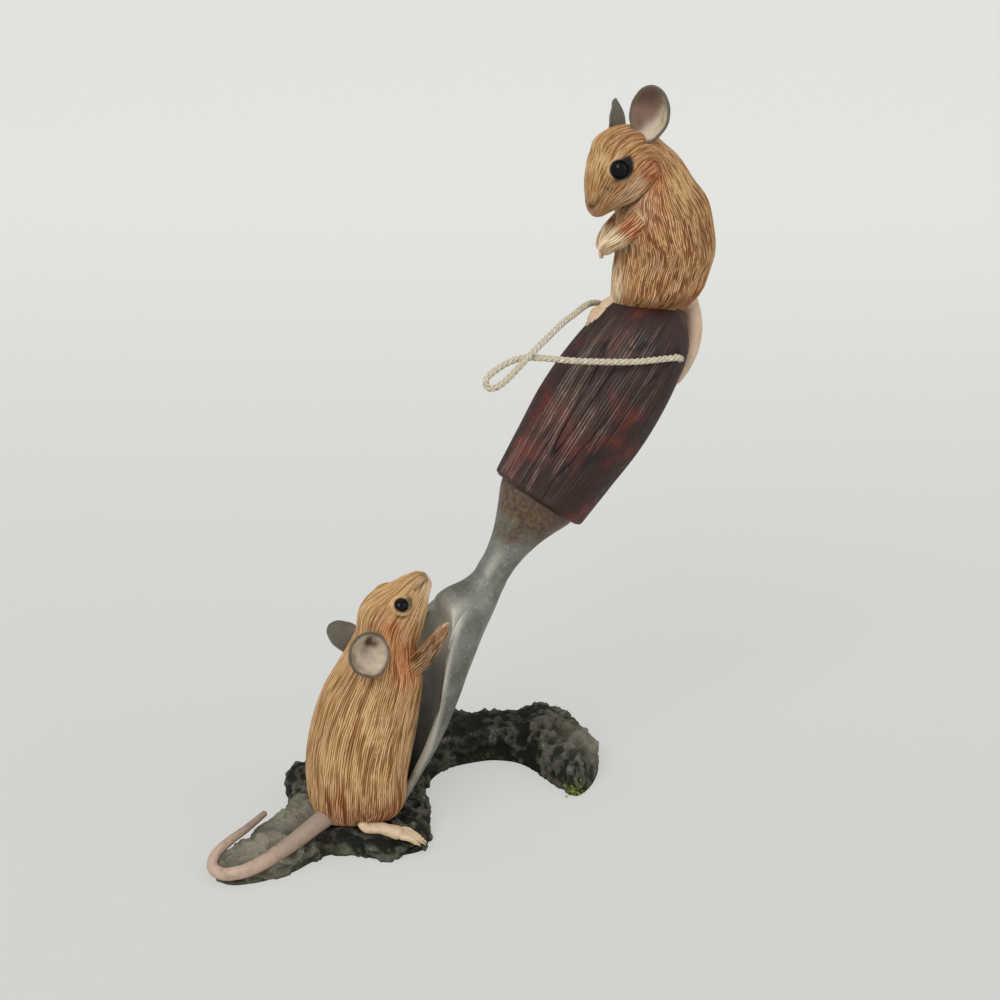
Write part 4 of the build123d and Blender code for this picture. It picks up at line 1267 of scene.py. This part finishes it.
class FIGURINE_OT_trowel(bpy.types.Operator):
    """Blade, neck and socket of the trowel"""
    bl_idname = "figurine.trowel"
    bl_label = "Trowel"

    def execute(self, context):
        points, station, lip, inside, floor = trough_surface(260, 260)
        points = points + normals_of(points) * (0.22 * cloud_noise(30, points, 14.0, 2) - 0.1)[..., None]
        station = station[:, None]
        low = soft_step(0.5, 0.9, station)
        stains = cloud_noise(31, points, 9.0, 3)
        # Painted light: the upper inside of the blade is painted pale.
        upper = inside * (1 - soft_step(0.30, 0.62, station))
        grime_and_shadow = inside * (0.30 * soft_step(0.0, 0.5, stains) + 0.5 * low * soft_step(-0.3, 0.4, stains))
        # Shade mask: grime from stains on the inside, and a painted shadow on the inside's floor beside the
        # mouse's belly.
        grime_and_shadow = np.maximum(grime_and_shadow * (1 - upper), 0.6 * floor * soft_step(0.22, 0.42, station))
        rust = 0.75 * low * soft_step(0.05, 0.45, cloud_noise(32, points, 7.0, 3)) * (1 - 0.6 * inside)
        # Painted highlight on the side of the blade that faces the main lamp.
        wear_and_sheen = 0.5 * soft_step(0.86, 1.0, normals_of(points) @ LIT_SIDE)
        wear_and_sheen = wear_and_sheen * (1 - soft_step(0.02, 0.2, station))
        # Pale paint on the lips as wear and painted highlight, and painted light on the upper inside and the
        # lit side.
        rim = np.clip(0.75 * lip + wear_and_sheen + 0.95 * upper, 0, 1)
        # The inner mask paints the inside lighter as painted light.
        shell = Shell().add(points, rim=rim, shade=grime_and_shadow, rusty=rust, inner=inside)

        neck, share = neck_surface(120, 160)
        share = share[:, None]
        neck = neck + normals_of(neck) * (0.16 * cloud_noise(33, neck, 9.0, 2) - 0.1)[..., None]
        rust = soft_step(0.25, 0.75, share + 0.3 * cloud_noise(34, neck, 7.0, 3))
        # Painted highlight on the side of the neck that faces the main lamp.
        wear_and_sheen = 0.5 * soft_step(0.86, 1.0, normals_of(neck) @ LIT_SIDE)
        wear_and_sheen = wear_and_sheen * (1 - soft_step(0.15, 0.45, share))
        # The shade mask here is painted shade where the neck goes into the handle.
        shell.add(neck, rusty=rust, rim=wear_and_sheen, shade=0.8 * soft_step(0.975, 1.0, share))
        shell.piece("trowel_steel", MATERIALS["steel"], ["trowel_blade"], "trowel_metal")
        return {"FINISHED"}


class FIGURINE_OT_handle(bpy.types.Operator):
    """Wooden handle with carved grain"""
    bl_idname = "figurine.handle"
    bl_label = "Handle"

    def execute(self, context):
        points, relief, dust, hollow = barrel_surface(120, 640)
        # Pale painted highlight on the lit crests, and painted shade in the cord holes.
        shell = Shell().add(points, relief=relief, dust=dust, shade=hollow)
        shell.piece("carved_handle", MATERIALS["wood"], ["trowel_handle"], "handle_wood")
        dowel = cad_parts["handle_dowel"]
        dowel.data.materials.clear()
        dowel.data.materials.append(MATERIALS["steel"])
        return {"FINISHED"}


# Where body and head part: share of the upper mouse's rows, and height of the lower mouse's neck
UPPER_NECK_SHARE, LOWER_NECK_HEIGHT = 0.63, 67.0


def upper_mouse_fur(width, length, depth):
    """Upper mouse from rump to snout as one surface: haunch, throat and lips swell it, the eyes sit in
    lids, and the strands fade round the eyes and towards the nose. Gives it with its masks and the
    row of the neck."""
    mouse = ringed_body(UPPER_MOUSE, upper_seat, upper_height, 290, 504, (3, 1.2))
    mouse = swell(mouse, *[(upper_seat + place, radius, rise) for place, radius, rise in UPPER_FLANKS])
    mouse = swell(mouse, *paired(UPPER_THROAT_PAIRS))
    eyes = place_on(upper_seat, upper_height, UPPER_EYES)
    ears = place_on(upper_seat, upper_height, [ear for ear, facing in UPPER_EARS])
    nose = upper_seat + (-26.2, 0, 30.2)
    lip, corner = np.array([64.2, -1.6, 191.0]), np.array([66.5, -6.2, 196.6])
    mouse = swell(mouse, *[(nose + (0.5, y, 0.8), 1.5, 0.35) for y in (-1.0, 1.0)], *paired(UPPER_LIP_PAIRS))
    mouse, away = socketed(mouse, eyes, UPPER_EYE_DIAMETER)
    mouth, tear = creases(mouse, lip, corner, 0.5), creases(mouse, corner, eyes[0], 0.8)
    mouse = mouse - normals_of(mouse) * (0.35 * mouth)[..., None]
    behind_nose = soft_step(6, 14, distance(mouse, nose))
    quiet = soft_step(3.0, 4.4, away) * (0.30 + 0.70 * soft_step(2, 14, distance(mouse, nose)))
    mouse, relief, tone = furred(mouse, 11, width * 0.95, length * 0.6, depth * 0.9, quiet)

    offset = mouse - upper_seat
    up = offset[..., 2]
    low = 1 - soft_step(30, 34, up)
    hem = 1 - soft_step(1, 12, up)
    rump = soft_step(-4, 8, offset[..., 0]) * (1 - soft_step(3, 11, up))
    chest = patch(offset, (-15, -4, 26), 7.0) + 0.7 * patch(offset, (-9, -10, 33), 4.5)
    saddle = patch(offset, (-2, -13, 16), 10, (1, 1, 0.8))
    saddle = saddle * soft_step(-0.3, 0.4, cloud_noise(12, mouse, 6, 2))
    belly = soft_step(15.4, 17.0, -offset[..., 0] + 0.05 * offset[..., 1]) * (1 - soft_step(17, 22, up))
    cheek = patches(mouse, both(79.0, 9.5, 200.5), 5.0) + 0.8 * patches(mouse, both(76.5, 10.45, 196.0), 4.5)
    snout = 1 - soft_step(14, 20, distance(mouse, lip))
    jaw = soft_step(0.0, 4.0, (mouse - lip) @ unit([0.80, 0, -0.60])) * snout
    lids = np.maximum(*[almond(mouse, eye, nose, ear, UPPER_EYE_DIAMETER) for eye, ear in zip(eyes, ears)])
    nostrils = np.maximum(*[patch(mouse, place, 1.0, (1, 1, 1.3)) for place in both(63.9, 1.3, 191.3)])
    pale = 0.6 * patch(mouse, (66.5, -2, 204.0), 8) + 0.7 * patch(offset, (-4, -10, 38), 7)
    masks = dict(
        relief=np.maximum(relief, 0.85 * (1 - quiet)), tone=tone, dusk=0.35 * saddle + 0.15 * hem,
        ginger=np.clip((0.25 * hem + 0.85 * rump + 0.75 * chest) * low + 0.85 * cheek, 0, 0.92),
        cream=np.clip(0.9 * belly * low + 0.45 * jaw * behind_nose, 0, 1),
        bare=0.8 * patch(mouse, lip + (0.6, 1.6, -3.0), 2.2), pale=np.clip(pale, 0, 1),
        inky=np.clip(lids + 0.45 * mouth + 0.3 * tear + 0.7 * nostrils, 0, 1))
    return mouse, masks, int(UPPER_NECK_SHARE * len(mouse))


def lower_mouse_fur(width, length, depth):
    """Lower mouse from seat to snout as one surface, made like the upper one, with a pale ring under
    each eye and a dark band round the haunches."""
    mouse = ringed_body(LOWER_MOUSE, lower_seat, lower_height, 222, 576, (3, 1.4))
    mouse = swell(mouse, *paired(LOWER_PAIRS), *LOWER_SINGLE)
    eyes = place_on(lower_seat, lower_height, LOWER_EYES)
    nose = np.array([11.2, -1.2, 85.4])
    lip, corner = np.array([11.0, -2.2, 84.2]), np.array([6.2, -5.6, 82.6])
    mouse = swell(mouse, *paired(LOWER_LIP_PAIRS), LOWER_NOSE)
    mouse, away = socketed(mouse, eyes, LOWER_EYE_DIAMETER)
    mouth = creases(mouse, lip, corner, 0.5)
    mouse = mouse - normals_of(mouse) * (0.3 * mouth)[..., None]
    quiet = soft_step(2.9, 4.6, away) * (0.35 + 0.65 * soft_step(2, 13, distance(mouse, nose)))
    mouse, relief, tone = furred(mouse, 31, width, length * 1.25, depth, quiet)

    offset = mouse - lower_seat
    up = offset[..., 2]
    hem = 1 - soft_step(1, 9, up)
    lids = np.maximum(*[almond(mouse, eye, eye - (8, 0, 1), eye + (5, 0, 8), LOWER_EYE_DIAMETER)
                        for eye in eyes])
    lids = np.maximum(lids, 0.75 * patch(mouse, nose + (-1.0, -0.6, 0.8), 1.4))
    below = soft_step(eyes[0][2] + 1.0, eyes[0][2] - 1.5, mouse[..., 2])
    ring = 0.8 * np.exp(-((away - 0.60 * LOWER_EYE_DIAMETER) / 0.36) ** 2) * below
    band = np.exp(-((up - 13 - 0.25 * offset[..., 1]) / 6) ** 2)
    band = band * soft_step(-0.5, 0.4, cloud_noise(35, mouse, 9, 2))
    throat = patches(mouse, both(2.5, 9.5, 62.0), 7.5)
    cheek = patches(mouse, both(-3.8, 9.6, 73.5), 3.6)
    muzzle = patches(mouse, both(11.0, 3.2, 81.0), 3.6)
    belly = soft_step(9.0, 13.5, offset[..., 0] - 0.16 * up) * (1 - soft_step(36, 44, up))
    masks = dict(
        relief=np.maximum(relief, 0.85 * (1 - quiet)), tone=tone, dusk=0.45 * band,
        ginger=np.clip(0.85 * band + 1.1 * throat + 0.8 * cheek + 0.5 * hem, 0, 0.95),
        cream=np.clip(0.75 * belly + 0.8 * muzzle, 0, 1), bare=0.75 * patch(mouse, nose + (0.6, 0, 0), 1.5),
        pale=np.clip(0.42 + 0.8 * ring + 0.5 * patch(mouse, (4, -4, 78), 6), 0, 1),
        inky=np.clip(0.8 * lids * (1 - ring) + 0.6 * mouth, 0, 1))
    return mouse, masks, int(np.argmax(mouse[..., 2].mean(axis=1) > LOWER_NECK_HEIGHT))


class FIGURINE_OT_bodies(bpy.types.Operator):
    """Furry bodies and heads of the mice"""
    bl_idname = "figurine.bodies"
    bl_label = "Bodies and heads"

    def execute(self, context):
        sizes = context.scene.figurine_sizes
        strand = sizes.strand_width / MM, sizes.strand_length / MM, sizes.fur_depth / MM
        for mouse, fur in (("upper", upper_mouse_fur), ("lower", lower_mouse_fur)):
            points, masks, row = fur(*strand)
            masks = {name: np.broadcast_to(mask, points.shape[:2]) for name, mask in masks.items()}
            for part, (grid, paint) in zip(("body", "head"), split_rows(points, masks, row)):
                Shell().add(grid, **paint).piece(f"{mouse}_fur_{part}", MATERIALS["fur"],
                                                 [f"{mouse}_mouse_{part}"], "fur")
        return {"FINISHED"}


def ear_paint(mouse, points, inside, x, y):
    """Masks inside an ear, from the places across and up it. On the upper mouse's ears the pale
    mask is painted light on the lower side of the dish and the dark patches are painted shade at its
    top; on the lower mouse's ears the pale mask is an even pale colour, and the dark patches are
    painted shade at the canal and at the lower left.
    """
    flat = np.stack([x, y, 0 * x], axis=-1)
    blot = cloud_noise(75, points, 3.0, 3)
    if mouse == "upper":
        # Painted light on the lower side of the dish, painted shade at its top.
        pale = soft_step(-0.8, 2.2, 0.75 * x - 0.5 * y + 0.8 * blot)
        painted_shade = 0.75 * patch(flat, (-1.0, 5.5, 0), 4.5) + 0.5 * patch(flat, (-3.0, -2.5, 0), 2.2)
    else:
        # Even pale colour, and painted shade at the canal and the lower left.
        pale = 0.75 + 0.25 * blot
        painted_shade = (1.3 * patch(flat, (2.0, 3.6, 0), 1.5) + 0.8 * patch(flat, (4.0, 2.2, 0), 1.2)
                + 0.4 * patch(flat, (-5.5, -1.5, 0), 2.4))
    return dict(inner=inside, pale=np.clip(0.85 * inside * pale, 0, 1), shade=np.clip(inside * painted_shade, 0, 1))


class FIGURINE_OT_faces(bpy.types.Operator):
    """Ears and bead eyes of the mice"""
    bl_idname = "figurine.faces"
    bl_label = "Ears and eyes"

    def execute(self, context):
        upper = ("upper", upper_seat, upper_height, UPPER_EARS, UPPER_EYES, UPPER_EYE_DIAMETER, (11.5, 15.3))
        lower = ("lower", lower_seat, lower_height, LOWER_EARS, LOWER_EYES, LOWER_EYE_DIAMETER, (14.4, 12.6))
        for (mouse, seat, size, ears, eyes, diameter, (across, tall)), sides in (
            (upper, ("left", "right")), (lower, ("right", "left")),
        ):
            for k, side in enumerate(sides):
                bead = eye_surface(seat + np.array(eyes[k]) * size, diameter)
                Shell().add(bead).piece(f"{mouse}_{side}_bead_eye", MATERIALS["eye"],
                                        [f"{mouse}_mouse_{side}_eye"], "eye_bead")
                centre, facing = ears[k]
                centre = seat + np.array(centre) * size
                if mouse == "lower" and k == 0:
                    centre = centre + LOWER_NEAR_EAR_SHIFT
                points, inside, x, y = ear_surface(centre, facing, across, tall, 3.0, 0.9, 70 + k)
                shell = Shell().add(points, **ear_paint(mouse, points, inside, x, y))
                shell.piece(f"{mouse}_{side}_dished_ear", MATERIALS["ear"],
                            [f"{mouse}_mouse_{side}_ear"], "ear_skin")
        return {"FINISHED"}


def foreleg(mouse, seat, size, arm, paw, taper, k):
    """Foreleg and paw of a mouse, the near one for k = 0: cream at the upper mouse's paws, sooty at the
    lower one's, ginger at the shoulder."""
    upper = mouse == "upper"
    points = [seat + np.array(share) * (FLIP if k else 1) * size for share in arm]
    if upper and k:
        points = [point + (2.0, 0, 0) for point in points]
    widths = [ARM_DIAMETER * share for share in taper]
    grid, relief, tone, fingers = arm_surfaces(points, widths, 51 + k, paw)
    reach = np.linspace(0, 1, grid.shape[0])[:, None]
    if upper:
        red = (0.85 if k else 0.75) * soft_step(0.1, 0.45, reach) * (1 - soft_step(0.5, 0.7, reach))
        paint = dict(cream=soft_step(0.55, 0.75, reach), ginger=red)
    else:
        sooty = 0.75 * soft_step(0.2, 0.5, reach) * (1 - 0.6 * soft_step(0.75, 1, reach))
        paint = dict(dusk=sooty, ginger=0.8 * (1 - soft_step(0.15, 0.4, reach)))
    shell = Shell().add(grid, relief=relief, tone=tone, **paint)
    for finger in fingers:
        shell.add(finger, relief=1.0, tone=0.6, bare=0.8 if upper else 0.3, dusk=0.0 if upper else 0.5)
    return shell


class FIGURINE_OT_limbs(bpy.types.Operator):
    """Forelegs, feet and tails of the mice"""
    bl_idname = "figurine.limbs"
    bl_label = "Limbs and tails"

    def execute(self, context):
        for mouse, seat, size, arm, paw, taper, feet, foot_length, sides in (
            ("upper", upper_seat, upper_height, UPPER_ARM, (-0.5, 0.1, -0.85), (1.2, 1.15, 1.0, 0.92, 0.66),
             UPPER_FEET, 13.5, ("left", "right")),
            ("lower", lower_seat, lower_height, LOWER_ARM, (0.5, 0.0, 0.85), (1.0, 0.95, 0.88, 0.78, 0.46),
             LOWER_FEET, 18.0, ("right", "left")),
        ):
            for k, side in enumerate(sides):
                foreleg(mouse, seat, size, arm, paw, taper, k).piece(
                    f"{mouse}_{side}_foreleg", MATERIALS["fur"], [f"{mouse}_mouse_{side}_arm"], "fur")
                heel, toward = feet[k]
                sole, toes = foot_surfaces(seat + np.array(heel) * size, toward, foot_length, FOOT_WIDTH,
                                           seat + (0, 0, 12.0))
                sole = sole + normals_of(sole) * (0.12 * cloud_noise(52, sole, 2.2, 3))[..., None]
                shell = Shell()
                for grid in (sole, *toes):
                    shell.add(grid)
                shell.piece(f"{mouse}_{side}_long_foot", MATERIALS["foot"],
                            [f"{mouse}_mouse_{side}_foot"], "foot_skin")

        fall = TAIL_ROOT - TAIL_TIP
        lower = place_on(blade_tip, earth_length, LOWER_TAIL)
        radii = [(TAIL_ROOT - fall * k / (len(lower) - 1)) / 2 for k in range(len(lower))]
        grid, share = tail_surface(lower, radii, 260)
        pink = (soft_step(0.2, 0.55, share) * (1 - soft_step(0.66, 0.9, share)))[:, None]
        shell = Shell().add(grid, inner=pink)
        shell.piece("lower_scaly_tail", MATERIALS["lower_tail"], ["lower_mouse_tail"], "lower_tail_skin")
        root = place_on(upper_seat, upper_height, UPPER_TAIL_ROOT)
        count = len(root) + len(UPPER_TAIL)
        radii = [(TAIL_ROOT - fall * k / count) / 2 for k in range(count)]
        points = root + [handle_place(*place, radius) for place, radius in zip(UPPER_TAIL, radii[len(root):])]
        grid, share = tail_surface(points, radii, 200)
        Shell().add(grid).piece("upper_scaly_tail", MATERIALS["upper_tail"], ["upper_mouse_tail"],
                                "upper_tail_skin")
        return {"FINISHED"}


class FIGURINE_PT_panel(bpy.types.Panel):
    """Tools that dress the figurine"""
    bl_idname = "FIGURINE_PT_panel"
    bl_label = "Mouse figurine"
    bl_space_type = "VIEW_3D"
    bl_region_type = "UI"
    bl_category = "Figurine"

    def draw(self, context):
        for group in (context.scene.figurine_sizes, context.scene.figurine_colours):
            for name in group.__annotations__:
                self.layout.prop(group, name)
        for tool in TOOLS:
            self.layout.operator(tool.bl_idname)


TOOLS = [
    FIGURINE_OT_stage, FIGURINE_OT_cord, FIGURINE_OT_earth, FIGURINE_OT_trowel, FIGURINE_OT_handle,
    FIGURINE_OT_bodies, FIGURINE_OT_faces, FIGURINE_OT_limbs,
]
CLASSES = [FigurineSizes, FigurineColours, *TOOLS, FIGURINE_PT_panel]


def register():
    for cls in CLASSES:
        bpy.utils.register_class(cls)
    bpy.types.Scene.figurine_sizes = bpy.props.PointerProperty(type=FigurineSizes)
    bpy.types.Scene.figurine_colours = bpy.props.PointerProperty(type=FigurineColours)


def unregister():
    del bpy.types.Scene.figurine_colours
    del bpy.types.Scene.figurine_sizes
    for cls in reversed(CLASSES):
        bpy.utils.unregister_class(cls)


def main():
    """Registers the tools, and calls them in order."""
    register()
    prepare_materials()
    for tool in TOOLS:
        area, name = tool.bl_idname.split(".")
        getattr(getattr(bpy.ops, area), name)()


if __name__ == "__main__":
    main()
